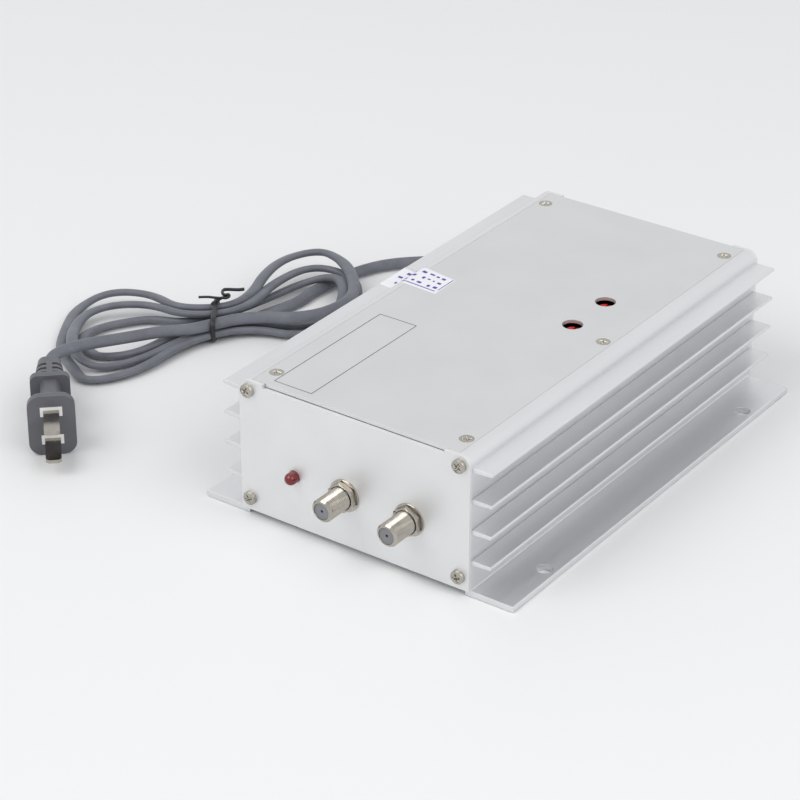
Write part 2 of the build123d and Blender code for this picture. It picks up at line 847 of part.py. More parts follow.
def shield_wall():
    """A folded tinplate wall that stands on the board."""
    half = shield_width / 2
    wall_piece = brick(-half, half, shield_y, shield_y + shield_thickness, board_top, board_top + shield_height)
    foot = brick(-half, half, shield_y, shield_y + shield_foot, board_top, board_top + shield_thickness)
    return wall_piece + foot - brick(
        transformer_x - core_width / 2 - overrun, transformer_x + core_width / 2 + overrun,
        shield_y + shield_thickness, shield_y + shield_foot + overrun,
        board_top - overrun, board_top + shield_thickness + overrun)


def cord_strain_relief():
    """The gland in the rear plate, with a tapered and grooved tail."""
    neck_end = plate_face - half_length
    tail_start = neck_end + gland_flange_thickness
    tail_end = tail_start + gland_tail_length
    root = gland_tail_root / 2
    tip = gland_tail_tip / 2
    outline = [(0, -gland_inner_thickness), (gland_inner_flange / 2, -gland_inner_thickness),
               (gland_inner_flange / 2, 0), (gland_neck / 2, 0), (gland_neck / 2, neck_end),
               (gland_flange / 2, neck_end), (gland_flange / 2, tail_start), (root, tail_start)]
    pitch = gland_tail_length / (gland_groove_count + 1)
    for index in range(gland_groove_count):
        middle = (index + 1) * pitch
        for offset, depth in ((-1, 0), (-1, 1), (1, 1), (1, 0)):
            height = middle + offset * gland_groove_width / 2
            radius = root + (tip - root) * height / gland_tail_length
            outline.append((radius - depth * gland_groove_depth, tail_start + height))
    outline += [(tip, tail_end), (0, tail_end)]
    return turned(outline, (cord_x, half_length, port_height), (0, 1, 0))


def hank_place(along, across, height):
    """A place in the hank's own bent frame, turned and set beside the case."""
    turn = math.radians(hank_angle)
    side = across + along * along / (2 * hank_bend_radius)
    return Vector(hank_x + along * math.cos(turn) - side * math.sin(turn),
                  hank_y + along * math.sin(turn) + side * math.cos(turn), height)


def hank_heading(along, degrees):
    """The direction of a strand that leaves a place at this angle in the hank's frame."""
    turn = math.radians(hank_angle)
    angle = math.radians(degrees)
    ahead = math.cos(angle)
    side = math.sin(angle) + along * ahead / hank_bend_radius
    return Vector(ahead * math.cos(turn) - side * math.sin(turn),
                  ahead * math.sin(turn) + side * math.cos(turn), 0).normalized()


# One turn of the hank, from the waist round the left lobe, back through the waist and round the
# right lobe. Each stop has its places along, its places across, its layers and its headings, with
# one value for each turn. The last turn of each lobe lies widest.
hank_stops = (
    ((0.0, 0.0, 0.0), (4.6, 0.0, -4.8), (0, 0, 0), (184.0, 184.0, 186.0)),
    ((-48.0, -52.0, -58.0), (-14.0, -24.5, -37.5), (0, 0, 0), (186.0, 186.0, 188.0)),
    ((-56.0, -61.5, -66.5), (-2.5, -10.0, -17.0), (0, 1, 0), (90.0, 92.0, 93.0)),
    ((-48.0, -51.0, -54.0), (14.0, 20.0, 27.0), (0, 0.3, 0), (40.0, 56.0, 62.0)),
    ((-31.0, -31.0, -27.0), (19.0, 28.0, 43.0), (0, 1, 1), (4.0, -20.0, -9.0)),
    ((0.0, 0.0, 0.0), (9.3, 4.6, 9.4), (0, 1, 1), (5.0, -7.0, -8.5)),
    ((44.0, 50.0, 50.0), (18.4, 20.7, 30.2), (0.3, 1.3, 2.1), (10.0, 6.0, 2.0)),
    ((64.0, 70.8, 69.3), (-3.5, -3.5, 4.0), (1.4, 0.93, 2), (-95.0, -95.0, -93.0)),
    ((48.0, 47.0, 50.0), (-16.5, -24.0, -24.5), (0, 0, 1.85), (180.0, 182.0, 180.0)),
)
hank_entry = (26.0, 5.0, 0, 182.0)
hank_last_waist = (0.0, -4.1, 1, 184.0)
hank_exit = (-16.0, -5.5, 1.3, 174.0)


def hank_nodes():
    """Places and headings that the hank's arcs run through, in order."""
    stops = [hank_entry]
    for turn in range(hank_turns):
        for along, across, layer, degrees in hank_stops:
            stops.append((along[turn], across[turn], layer[turn], degrees[turn]))
    stops += [hank_last_waist, hank_exit]
    nodes = []
    for along, across, layer, degrees in stops:
        lift = waist_lift if along == 0 else 0
        height = cord_radius + layer * layer_step + lift
        nodes.append((hank_place(along, across, height), hank_heading(along, degrees)))
    return nodes


def biarc(start, start_way, end, end_way):
    """The point where two arcs join that run smoothly from one node to the next."""
    chord = end - start
    square = 2 * (start_way.dot(end_way) - 1)
    linear = -2 * chord.dot(start_way + end_way)
    constant = chord.dot(chord)
    root = math.sqrt(linear * linear - 4 * square * constant)
    reach = max((-linear + root) / (2 * square), (-linear - root) / (2 * square))
    return (start + start_way * reach + end - end_way * reach) / 2


def hank_start():
    """Where the cord enters the hank, one cord before its first turn, and the way it runs."""
    first, way = hank_nodes()[0]
    return first - way * cord, way


def hank_end():
    """Where the cord leaves the hank, one cord past its last turn, and the way it runs."""
    last, way = hank_nodes()[-1]
    return last + way * cord, way


def hank_path():
    """One unbroken line of arcs through every turn, with a straight run at each end."""
    nodes = hank_nodes()
    edges = [Edge.make_line(hank_start()[0], nodes[0][0])]
    for (p0, way0), (p1, way1) in zip(nodes, nodes[1:]):
        middle = biarc(p0, way0, p1, way1)
        first = Edge.make_tangent_arc(p0, way0, middle)
        edges.append(first)
        edges.append(Edge.make_tangent_arc(middle, first % 1, p1))
    edges.append(Edge.make_line(nodes[-1][0], hank_end()[0]))
    return edges


def report_hank(edges):
    """Print the hank's least gap to itself, measured on points 0.8 of a cord apart."""
    points = []
    walked = 0
    for edge in edges:
        count = max(2, int(edge.length / (0.2 * cord)))
        points += [(walked + edge.length * step / count, edge @ (step / count)) for step in range(count)]
        walked += edge.length
    coords = [(place, p.X, p.Y, p.Z) for place, p in points]
    least = housing_length
    for index, (place, x, y, z) in enumerate(coords):
        for other, x2, y2, z2 in coords[index + 1:]:
            if other - place > 4 * cord:
                least = min(least, math.dist((x, y, z), (x2, y2, z2)))
    print(f"hank length {walked:.1f} mm, least gap to itself {least - cord:.2f} mm")


def cord_hank():
    edges = hank_path()
    report_hank(edges)
    start, way = hank_start()
    section = Plane(origin=start, z_dir=way) * Circle(cord_radius)
    return sweep(section, path=Wire(edges))


def cord_run(name, points):
    """A free stretch of cord: straight runs joined by arcs as large as the runs allow."""
    points = [Vector(point) for point in points]
    radii = []
    for before, here, after in zip(points, points[1:], points[2:]):
        run_in = here - before
        run_out = after - here
        turn = math.radians(run_in.get_angle(run_out))
        radii.append(0.45 * min(run_in.length, run_out.length) / math.tan(turn / 2))
    path = FilletPolyline(*points, radius=radii)
    section = Plane(origin=points[0], z_dir=points[1] - points[0]) * Circle(cord_radius)
    tube = sweep(section, path=path)
    expected = math.pi * cord_radius ** 2 * path.length
    print(f"{name} length {path.length:.1f} mm, radii {[round(r, 1) for r in radii]}, "
          f"volume over section times length {tube.volume / expected:.4f}")
    return tube


# The lead's points between the gland and the hank, down to the surface and past the case's corner
lead_end_run = 12.5
lead_points = (
    (cord_x, 143.5, port_height),
    (-36.0, 156.5, 17.0),
    (-50.0, 164.0, 7.0),
    (-69.0, 159.0, cord_radius),
    (-88.0, 142.0, cord_radius),
    (-106.0, 124.0, cord_radius),
    (-124.0, 110.5, cord_radius),
    (-135.5, 97.5, cord_radius),
    (-141.5, 79.0, cord_radius),
    (-143.8, 60.0, cord_radius),
)


def lead_cord():
    """From the gland down to the surface, round the back of the case and into the hank."""
    start, way = hank_start()
    gland_end = (cord_x, gland_tail_end, port_height)
    return cord_run("lead cord", [gland_end, *lead_points, start - way * lead_end_run, start])


# The plug cord's points between its straight ends
plug_cord_points = (
    (-173.6, -31.4, 9.0),
    (-178.2, -42.6, 10.4),
    (-181.9, -53.4, 12.0),
    (-183.6, -64.0, 13.2),
)


def plug_cord():
    """From the hank up over its end and into the plug."""
    end, way = hank_end()
    face = Vector(plug_face_x, plug_face_y, plug_centre_height)
    tail = Vector(plug_tail_x, plug_tail_y, plug_centre_height)
    into_plug = (face - tail).normalized()
    return cord_run("plug cord", [end, end + way * cord_end_run, *plug_cord_points,
                                  tail - into_plug * cord_end_run, tail])


# The tie's two free ends past the knot: along and across the hank, and height above the band
tie_ends = (
    ((0.0, 9.0, -0.5), (2.8, 9.4, 0.3), (9.6, 10.5, 1.8), (9.2, 14.3, 2.8), (17.8, 10.8, 2.8)),
    ((4.0, 9.6, 0.6), (0.2, 11.3, 1.8), (-3.4, 12.7, 2.4)),
)


def twist_tie():
    """A flat wire tie round the waist of the hank, with its two ends twisted together."""
    across = [value for stop in (hank_stops[0], hank_stops[5]) for value in stop[1]] + [hank_last_waist[1]]
    reach = cord_radius + tie_side_gap
    low = min(across) - reach
    high = max(across) + reach
    top = cord + hank_last_waist[2] * layer_step + waist_lift + tie_gap
    outside = span(low - tie_thickness, high + tie_thickness, 0, top + tie_thickness)
    outside = fillet(outside.vertices(), cord_radius + tie_gap + tie_thickness)
    inside = span(low, high, tie_thickness, top)
    inside = fillet(inside.vertices(), cord_radius + tie_gap)
    side_way = hank_place(0, 1, 0) - hank_place(0, 0, 0)
    ahead = side_way.cross(Vector(0, 0, 1))
    plane = Plane(origin=(hank_x, hank_y, 0), x_dir=side_way, z_dir=ahead)
    band = extrude(plane * (outside - inside), amount=tie_width / 2, both=True)
    knot_height = top + tie_thickness
    for ends in tie_ends:
        points = [hank_place(along, side, knot_height + rise) for along, side, rise in ends]
        path = FilletPolyline(*points, radius=tie_wire_bend)
        section = Plane(origin=points[0], z_dir=points[1] - points[0]) * Circle(tie_wire / 2)
        band += sweep(section, path=path)
    return band


def plug_place():
    """The plug's own frame: X to the blades' tips, Y across, Z up, centred on the face."""
    return Pos(plug_face_x, plug_face_y, plug_centre_height) * Rot(0, 0, plug_angle)


def plug_section(back, width, height, radius):
    """A rounded outline across the plug, some way behind its face."""
    outline = RectangleRounded(width, height, radius)
    return Plane(origin=(-back, 0, 0), x_dir=(0, 1, 0), z_dir=(1, 0, 0)) * outline


def plug_body():
    """The moulded plug: flange, neck, collar and a slotted strain relief."""
    flange = extrude(plug_section(0, plug_width, plug_height, plug_corner_radius), amount=-plug_flange_thickness)
    flange = fillet(flange.edges().group_by(Axis.X)[0], plug_flange_thickness / 3)
    neck_radius = plug_neck_width / 3
    neck = loft([
        plug_section(plug_flange_thickness - overrun, plug_neck_root_width,
                     plug_height - plug_corner_radius, plug_corner_radius),
        plug_section((plug_flange_thickness + plug_neck_end) / 2, plug_neck_width, plug_neck_height, neck_radius),
        plug_section(plug_neck_end + overrun, plug_neck_width, plug_neck_height, neck_radius),
    ])
    collar = extrude(plug_section(plug_neck_end, plug_collar_width, plug_collar_height,
                                  plug_collar_corner_radius), amount=plug_neck_end - plug_collar_end)
    collar = fillet(collar.edges().group_by(Axis.X)[0], plug_collar_corner_radius / 2)
    relief = loft([
        plug_section(plug_collar_end - overrun, plug_relief_width, plug_relief_height, plug_relief_height / 3),
        plug_section(plug_relief_end, plug_relief_tip_width, plug_relief_tip_height, plug_relief_tip_width / 3),
    ])
    core = Box(2 * plug_relief_end, plug_slot_core, plug_slot_core)
    rib = Box(2 * plug_relief_end, plug_slot_rib, 2 * plug_relief_height)
    for index in range(plug_relief_slots):
        back = plug_collar_end + plug_slot_start + index * plug_slot_pitch
        slot = Pos(-back - plug_slot_width / 2, 0, 0) * Box(plug_slot_width, 2 * plug_width, 2 * plug_height)
        relief -= slot - core - rib
    body = flange + neck + collar + relief
    for z in mirrored_pair(blade_pitch / 2):
        recess_y = blade_width / 2 + insert_margin
        recess_z = blade_thickness / 2 + insert_margin
        body -= brick(-insert_depth, overrun, -recess_y, recess_y, z - recess_z, z + recess_z)
        body -= brick(-blade_root, overrun, -blade_width / 2, blade_width / 2,
                      z - blade_thickness / 2, z + blade_thickness / 2)
    return plug_place() * body


def plug_inserts():
    """Pale frames let into the face round the roots of the blades."""
    pieces = []
    for z in mirrored_pair(blade_pitch / 2):
        frame_y = blade_width / 2 + insert_margin
        frame_z = blade_thickness / 2 + insert_margin
        frame = brick(-insert_depth, insert_proud, -frame_y, frame_y, z - frame_z, z + frame_z)
        frame -= brick(-insert_depth - overrun, insert_proud + overrun, -blade_width / 2, blade_width / 2,
                       z - frame_z - overrun, z + blade_thickness / 2)
        pieces.append(plug_place() * frame)
    return group(pieces)


def plug_blades():
    """Two flat blades, one above the other, with tapered tips."""
    outline = Polygon(
        (-blade_root, -blade_width / 2), (blade_reach - blade_tip_taper, -blade_width / 2),
        (blade_reach, -blade_width / 2 + blade_tip_taper), (blade_reach, blade_width / 2 - blade_tip_taper),
        (blade_reach - blade_tip_taper, blade_width / 2), (-blade_root, blade_width / 2), align=None,
    )
    blade = extrude(outline, amount=blade_thickness / 2, both=True)
    return group([plug_place() * Pos(0, 0, z) * blade for z in mirrored_pair(blade_pitch / 2)])


ports = [(test_port_x, barrel + 2 * slip_gap), (main_port_x, barrel + 2 * slip_gap)]
nodes = {
    "heatsink_housing": heatsink_housing(),
    "top_cover": top_cover(),
    "top_cover_screws": top_cover_screws(),
    "front_plate": end_plate(-1, ports + [(lamp_x, lamp + 2 * slip_gap)]),
    "rear_plate": end_plate(1, ports + [(cord_x, gland_neck + 2 * slip_gap)]),
    "front_plate_screws": plate_screws(-1),
    "rear_plate_screws": plate_screws(1),
    "front_test_connector": connector(test_port_x, -1),
    "output_connector": connector(main_port_x, -1),
    "rear_test_connector": connector(test_port_x, 1),
    "input_connector": connector(main_port_x, 1),
    "connector_nuts": connector_nuts(),
    "connector_washers": connector_washers(),
    "connector_insulators": connector_insulators(),
    "connector_contacts": connector_contacts(),
    "power_led": power_led(),
    "led_leads": led_leads(),
    "circuit_board": circuit_board(),
    "board_standoffs": board_standoffs(),
    "board_screws": board_screws(),
    "attenuator_pot": trimmer_pot(attenuator_y),
    "attenuator_shaft": trimmer_shaft(attenuator_y),
    "tilt_pot": trimmer_pot(tilt_y),
    "tilt_shaft": trimmer_shaft(tilt_y),
    "pot_terminals": pot_terminals(),
    "transformer_core": transformer_core(),
    "transformer_bobbin": transformer_bobbin(),
    "transformer_windings": transformer_windings(),
    "mains_terminal": mains_terminal(),
    "mains_leads": mains_leads(),
    "mains_fuse": mains_fuse(),
    "fuse_clips": fuse_clips(),
    "bridge_rectifier": bridge_rectifier(),
    "filter_capacitors": filter_capacitors(),
    "voltage_regulator": voltage_regulator(),
    "regulator_screw": regulator_screw(),
    "amplifier_module": amplifier_module(),
    "module_pins": module_pins(),
    "module_screws": module_screws(),
    "ferrite_transformers": ferrite_transformers(),
    "ferrite_windings": ferrite_windings(),
    "small_capacitors": small_capacitors(),
    "shield_wall": shield_wall(),
    "cord_strain_relief": cord_strain_relief(),
    "lead_cord": lead_cord(),
    "cord_hank": cord_hank(),
    "plug_cord": plug_cord(),
    "twist_tie": twist_tie(),
    "plug_body": plug_body(),
    "plug_inserts": plug_inserts(),
    "plug_blades": plug_blades(),
}

os.makedirs("parts", exist_ok=True)
for name, shape in nodes.items():
    export_step(shape, f"parts/{name}.step")
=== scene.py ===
import json
import math

import bmesh
import bpy
import numpy as np
from bpy.props import FloatProperty, FloatVectorProperty, IntProperty, PointerProperty
from bpy.types import Operator, Panel, PropertyGroup
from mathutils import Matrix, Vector


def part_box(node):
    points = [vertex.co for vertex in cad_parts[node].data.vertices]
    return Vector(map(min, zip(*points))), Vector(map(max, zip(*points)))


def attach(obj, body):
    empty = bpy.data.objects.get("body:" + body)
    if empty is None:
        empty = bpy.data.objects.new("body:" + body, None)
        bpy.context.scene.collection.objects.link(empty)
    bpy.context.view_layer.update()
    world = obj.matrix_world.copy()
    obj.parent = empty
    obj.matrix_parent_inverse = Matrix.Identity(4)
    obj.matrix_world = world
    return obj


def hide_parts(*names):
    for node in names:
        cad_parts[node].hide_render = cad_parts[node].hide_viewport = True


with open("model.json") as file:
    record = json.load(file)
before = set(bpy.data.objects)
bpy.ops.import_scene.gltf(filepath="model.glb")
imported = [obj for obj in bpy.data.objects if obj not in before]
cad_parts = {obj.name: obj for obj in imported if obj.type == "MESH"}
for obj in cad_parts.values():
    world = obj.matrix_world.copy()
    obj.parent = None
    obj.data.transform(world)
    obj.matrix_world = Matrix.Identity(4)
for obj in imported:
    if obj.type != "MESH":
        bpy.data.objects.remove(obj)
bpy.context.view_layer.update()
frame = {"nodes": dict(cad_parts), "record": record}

bl_info = {
    "name": "Signal amplifier dressing",
    "version": (1, 0, 0),
    "blender": (4, 5, 0),
    "location": "3D View > Sidebar > Amplifier",
    "description": "Finishes, fasteners, connectors, seal, print and mains cord of a "
                   "cable television amplifier",
    "category": "Object",
}

MM = 0.001

# Places on the case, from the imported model
cover_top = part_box("top_cover")[1].z
front_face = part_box("front_plate")[0].y
rear_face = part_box("rear_plate")[1].y
case_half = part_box("front_plate")[1].x


def centre_of(node):
    """The middle of a node's box."""
    low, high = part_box(node)
    return (low + high) / 2


def lengths(name, description, default):
    """A length in metres, shown in the user's own unit."""
    return FloatProperty(name=name, description=description, default=default, unit="LENGTH",
                         precision=5, min=0.0)


def colours(name, description, default):
    """A linear colour."""
    return FloatVectorProperty(name=name, description=description, default=default, subtype="COLOR",
                               min=0.0, max=1.0)


class FinishColours(PropertyGroup):
    housing: colours("Housing", "Clear anodised extrusion", (0.74, 0.745, 0.76))
    sheet: colours("Sheet", "End plates", (0.76, 0.765, 0.77))
    # Painted shade: the cover is the end plates' sheet made darker, standing for the dimmer light on its
    # upward face.
    cover: colours("Cover", "Cover plate", (0.67, 0.68, 0.685))
    # Painted reflection: the nickel is darker than bright plating, standing for the dark room round the
    # camera that it mirrors, so that the lamps' highlights stand out on it.
    nickel: colours("Nickel", "Plated connectors", (0.43, 0.40, 0.355))
    zinc: colours("Zinc", "Plated screws", (0.44, 0.42, 0.375))
    cord: colours("Cord", "Jacket of the mains cord", (0.146, 0.153, 0.182))
    plug: colours("Plug", "Moulded mains plug", (0.108, 0.109, 0.125))
    lamp: colours("Lamp", "Red lens of the power lamp", (0.17, 0.002, 0.004))
    trimmer: colours("Trimmer", "Red trimmer shaft", (0.55, 0.015, 0.012))
    ink: colours("Ink", "Print on the cover", (0.045, 0.045, 0.05))
    seal_ink: colours("Seal ink", "Marks on the paper seal", (0.075, 0.055, 0.34))


class CordSizes(PropertyGroup):
    width: lengths("Width", "Width of the flat two-core cord", 0.0052)
    thickness: lengths("Thickness", "Thickness of the flat two-core cord", 0.0032)
    sides: IntProperty(name="Sides", description="Points round the jacket", default=22, min=8)
    steps: IntProperty(name="Steps", description="Steps along each span of the route", default=12, min=4)


class FastenerSizes(PropertyGroup):
    pan_head: lengths("Pan head", "Head across the end plate screws", 0.0056)
    pan_height: lengths("Pan height", "Height of the pan head", 0.0022)
    flat_head: lengths("Flat head", "Head across the cover screws", 0.0058)
    flat_depth: lengths("Flat depth", "Depth of the countersunk head", 0.00145)
    shank: lengths("Shank", "Thread diameter", 0.003)
    recess: lengths("Recess", "Depth of the cross recess", 0.0014)


class ConnectorSizes(PropertyGroup):
    barrel: lengths("Barrel", "Thread diameter", 0.0095)
    reach: lengths("Reach", "Barrel outside the plate", 0.0148)
    tip: lengths("Tip", "Diameter of the rim", 0.0076)
    bore: lengths("Bore", "Diameter inside the rim", 0.0068)
    pitch: lengths("Pitch", "Thread pitch, 32 to the inch", 0.00079)
    depth: lengths("Depth", "Thread depth", 0.00042)
    nut_flats: lengths("Nut", "Nut across its flats", 0.011)
    nut_height: lengths("Nut height", "Thickness of the nut", 0.0025)
    washer: lengths("Washer", "Washer thickness", 0.0006)


class StageSettings(PropertyGroup):
    floor: colours("Floor", "Pale table top", (0.86, 0.865, 0.875))
    sky: FloatProperty(name="Sky", description="Strength of the even light", default=0.61, min=0.0)
    seen: FloatProperty(name="Backdrop", description="Strength of the backdrop as seen",
                        default=0.9, min=0.0)
    lamp: FloatProperty(name="Lamps", description="Power of the soft lamps together",
                        default=36.0, unit="POWER")


# Making meshes from grids

def show(name, mesh, finish, replaces=()):
    """Puts a finished mesh in the scene, hangs it on the amplifier's body and hides the imported pieces
    that it stands for.
    """
    obj = bpy.data.objects.new(name, mesh)
    bpy.context.scene.collection.objects.link(obj)
    mesh.materials.append(finish)
    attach(obj, "amplifier")
    if replaces:
        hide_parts(*replaces)
    return obj


def faces_of(rows, columns, first):
    """The quads between neighbouring rows and columns of a grid."""
    corner = np.arange(rows * columns).reshape(rows, columns) + first
    quads = np.stack([corner[:-1, :-1], corner[1:, :-1], corner[1:, 1:], corner[:-1, 1:]], axis=-1)
    return quads.reshape(-1, 4)


merge_distance = 1e-6


def woven(name, grids, closed=True, sharp=35.0):
    """One mesh from grids of points. Where it is closed, points that meet at seams and poles are
    merged and the faces turned outward. Edges sharper than the given angle stay sharp."""
    points, quads, first = [], [], 0
    for grid in grids:
        rows, columns = grid.shape[:2]
        points.append(grid.reshape(-1, 3))
        quads.append(faces_of(rows, columns, first))
        first += rows * columns
    mesh = bpy.data.meshes.new(name)
    mesh.from_pydata(np.concatenate(points).tolist(), [], np.concatenate(quads).tolist())
    if closed:
        work = bmesh.new()
        work.from_mesh(mesh)
        bmesh.ops.remove_doubles(work, verts=work.verts, dist=merge_distance)
        bmesh.ops.recalc_face_normals(work, faces=work.faces)
        work.to_mesh(mesh)
        work.free()
    mesh.shade_smooth()
    mesh.set_sharp_from_angle(angle=math.radians(sharp))
    mesh.update()
    return mesh


def placed(grid, origin, axis):
    """Turns a grid so that its Z lies along the axis, and moves it to the origin. The grid's X stays
    along the case's X, and its Y follows from the right-hand rule."""
    along = np.array(axis, float)
    across = np.array((1.0, 0.0, 0.0))
    up = np.cross(along, across)
    basis = np.stack([across, up, along])
    return grid @ basis + np.array(origin, float)


def turned(profile, sides):
    """A turned surface: points of radius and height carried round Z."""
    radius, height = np.array(profile, float).T
    angle = np.linspace(0.0, 2.0 * math.pi, sides + 1)
    return np.stack([
        radius[:, None] * np.cos(angle),
        radius[:, None] * np.sin(angle),
        np.broadcast_to(height[:, None], (len(radius), len(angle))),
    ], axis=-1)


def unit(vectors):
    """Each vector divided by its length."""
    return vectors / np.linalg.norm(vectors, axis=-1, keepdims=True)


def directions(path):
    """The way along a path at each of its points."""
    return unit(np.gradient(path, axis=0))


def swept(path, ring, side, up):
    """A ring of across and up offsets carried along a path, and drawn together to a point at each
    end: each row is path + side * across + up * height."""
    ring = np.concatenate([ring, ring[:1]])
    across, height = ring[None, :, :1], ring[None, :, 1:]
    body = path[:, None, :] + side[:, None, :] * across + up[:, None, :] * height
    first = np.repeat(path[:1, None, :], len(ring), axis=1)
    last = np.repeat(path[-1:, None, :], len(ring), axis=1)
    return np.concatenate([first, body, last])


def level_sides(path):
    """Level side vectors across a path, and the up vectors square to both."""
    way = directions(path)
    side = unit(np.cross((0.0, 0.0, 1.0), way))
    return side, np.cross(way, side)


def steady_sides(path, start_side):
    """Side vectors carried along a path without twist: each is the last one with its part along
    the path taken away."""
    way = directions(path)
    side = np.empty_like(path)
    held = np.array(start_side, float)
    for step, heading in enumerate(way):
        held = held - heading * held.dot(heading)
        held = held / np.linalg.norm(held)
        side[step] = held
    return side, np.cross(way, side)


def oval(width, thickness, sides, power=2.5):
    """A superellipse: |x / half width| ** power + |y / half thickness| ** power = 1."""
    angle = np.linspace(0.0, 2.0 * math.pi, sides, endpoint=False)
    cos, sin = np.cos(angle), np.sin(angle)
    return np.stack([
        width / 2 * np.sign(cos) * np.abs(cos) ** (2 / power),
        thickness / 2 * np.sign(sin) * np.abs(sin) ** (2 / power),
    ], axis=-1)


def spline_points(controls, steps):
    """Points along the open NURBS spline of order 3 that the control points steer."""
    curve = bpy.data.curves.new("route", "CURVE")
    curve.dimensions = "3D"
    spline = curve.splines.new("NURBS")
    spline.points.add(len(controls) - 1)
    weighted = np.concatenate([controls, np.ones((len(controls), 1))], axis=1)
    spline.points.foreach_set("co", weighted.ravel())
    spline.order_u = 3
    spline.use_endpoint_u = True
    spline.resolution_u = steps
    holder = bpy.data.objects.new("route", curve)
    bpy.context.scene.collection.objects.link(holder)
    line = bpy.data.meshes.new_from_object(holder)
    points = np.empty(len(line.vertices) * 3)
    line.vertices.foreach_get("co", points)
    bpy.data.objects.remove(holder)
    bpy.data.curves.remove(curve)
    bpy.data.meshes.remove(line)
    return points.reshape(-1, 3)


# Finishes

class Finish:
    """A procedural surface on Object coordinates, built up a feature at a time."""

    # Nearly all fractal noise lies between these values
    noise_low, noise_high = 0.3, 0.7

    def __init__(self, name, colour, roughness, metallic=0.0):
        self.material = bpy.data.materials.new(name)
        self.material.use_nodes = True
        self.nodes = self.material.node_tree.nodes
        self.shader = self.nodes["Principled BSDF"]
        self.colour = (*colour, 1.0)
        self.roughness = roughness
        self.set("Base Color", self.colour)
        self.set("Roughness", roughness)
        self.set("Metallic", metallic)
        self.place = self.nodes.new("ShaderNodeTexCoord").outputs["Object"]
        self.relief = None

    def set(self, socket, value):
        self.shader.inputs[socket].default_value = value

    def link(self, output, target):
        self.material.node_tree.links.new(output, target)

    def noise(self, scale, detail=3.0, harshness=0.5):
        """Fractal noise whose grain is set in cycles per metre, for all axes or for each."""
        mapping = self.nodes.new("ShaderNodeMapping")
        mapping.inputs["Scale"].default_value = np.broadcast_to(scale, 3)
        noise = self.nodes.new("ShaderNodeTexNoise")
        noise.inputs["Scale"].default_value = 1.0
        noise.inputs["Detail"].default_value = detail
        noise.inputs["Roughness"].default_value = harshness
        self.link(self.place, mapping.inputs["Vector"])
        self.link(mapping.outputs["Vector"], noise.inputs["Vector"])
        return noise.outputs["Fac"]

    def spread(self, value, low, high):
        """Noise spread over low to high."""
        node = self.nodes.new("ShaderNodeMapRange")
        limits = {"From Min": self.noise_low, "From Max": self.noise_high, "To Min": low, "To Max": high}
        for socket, number in limits.items():
            node.inputs[socket].default_value = number
        self.link(value, node.inputs["Value"])
        return node.outputs["Result"]

    def tone(self, value, darker, lighter):
        """The base colour, from darker to lighter shares of it as the noise grows."""
        ramp = self.nodes.new("ShaderNodeValToRGB")
        stops = ((self.noise_low, darker), (self.noise_high, lighter))
        for element, (position, share) in zip(ramp.color_ramp.elements, stops):
            element.position = position
            element.color = (*(min(1.0, part * share) for part in self.colour[:3]), 1.0)
        self.link(value, ramp.inputs["Fac"])
        self.link(ramp.outputs["Color"], self.shader.inputs["Base Color"])

    def gloss(self, value, swing):
        """Roughness that swings about its own value."""
        self.link(self.spread(value, self.roughness - swing, self.roughness + swing),
                  self.shader.inputs["Roughness"])

    def bumps(self, value, depth):
        """Relief of a depth in metres, on top of any before it."""
        bump = self.nodes.new("ShaderNodeBump")
        bump.inputs["Strength"].default_value = 1.0
        bump.inputs["Distance"].default_value = depth
        self.link(value, bump.inputs["Height"])
        if self.relief:
            self.link(self.relief, bump.inputs["Normal"])
        self.relief = bump.outputs["Normal"]
        self.link(self.relief, self.shader.inputs["Normal"])

    def soft_edges(self, radius):
        """Light caught along the broken edges of the metal."""
        bevel = self.nodes.new("ShaderNodeBevel")
        bevel.samples = 4
        bevel.inputs["Radius"].default_value = radius
        self.relief = bevel.outputs["Normal"]


def anodised_body(colour):
    """Clear anodised extrusion: die lines along the case, fine grain and faint mottling."""
    finish = Finish("anodised_body", colour, 0.40, 0.82)
    lines = finish.noise((1500.0, 5.0, 1500.0), 2.0)
    grain = finish.noise(2600.0, 2.0)
    finish.soft_edges(0.00035)
    finish.tone(finish.noise((60.0, 9.0, 60.0), 4.0), 0.955, 1.03)
    finish.gloss(lines, 0.07)
    finish.bumps(lines, 0.000012)
    finish.bumps(grain, 0.000008)
    return finish.material


def satin_sheet(name, colour):
    """Matt clear anodised sheet with a fine etched grain."""
    finish = Finish(name, colour, 0.46, 0.62)
    grain = finish.noise(2200.0, 3.0, 0.6)
    finish.soft_edges(0.00025)
    finish.tone(finish.noise(38.0, 5.0), 0.975, 1.02)
    finish.gloss(grain, 0.06)
    finish.bumps(grain, 0.000014)
    return finish.material


def plated(name, colour, roughness, mottle=140.0):
    """Plated metal with a faint patchy gloss and fine scratches."""
    finish = Finish(name, colour, roughness, 1.0)
    patches = finish.noise(mottle, 4.0, 0.6)
    scratches = finish.noise((4000.0, 300.0, 4000.0), 2.0)
    finish.tone(patches, 0.86, 1.08)
    finish.gloss(patches, roughness * 0.35)
    finish.bumps(scratches, 0.000006)
    return finish.material


def moulded(name, colour, roughness, grain=1400.0, depth=0.00001, coat=0.0):
    """Moulded plastic or rubber: spark-eroded grain, faint mottling and an uneven gloss."""
    finish = Finish(name, colour, roughness)
    texture = finish.noise(grain, 3.0, 0.6)
    finish.tone(finish.noise(90.0, 4.0), 0.92, 1.08)
    finish.gloss(texture, 0.08)
    finish.bumps(texture, depth)
    finish.set("Coat Weight", coat)
    return finish.material


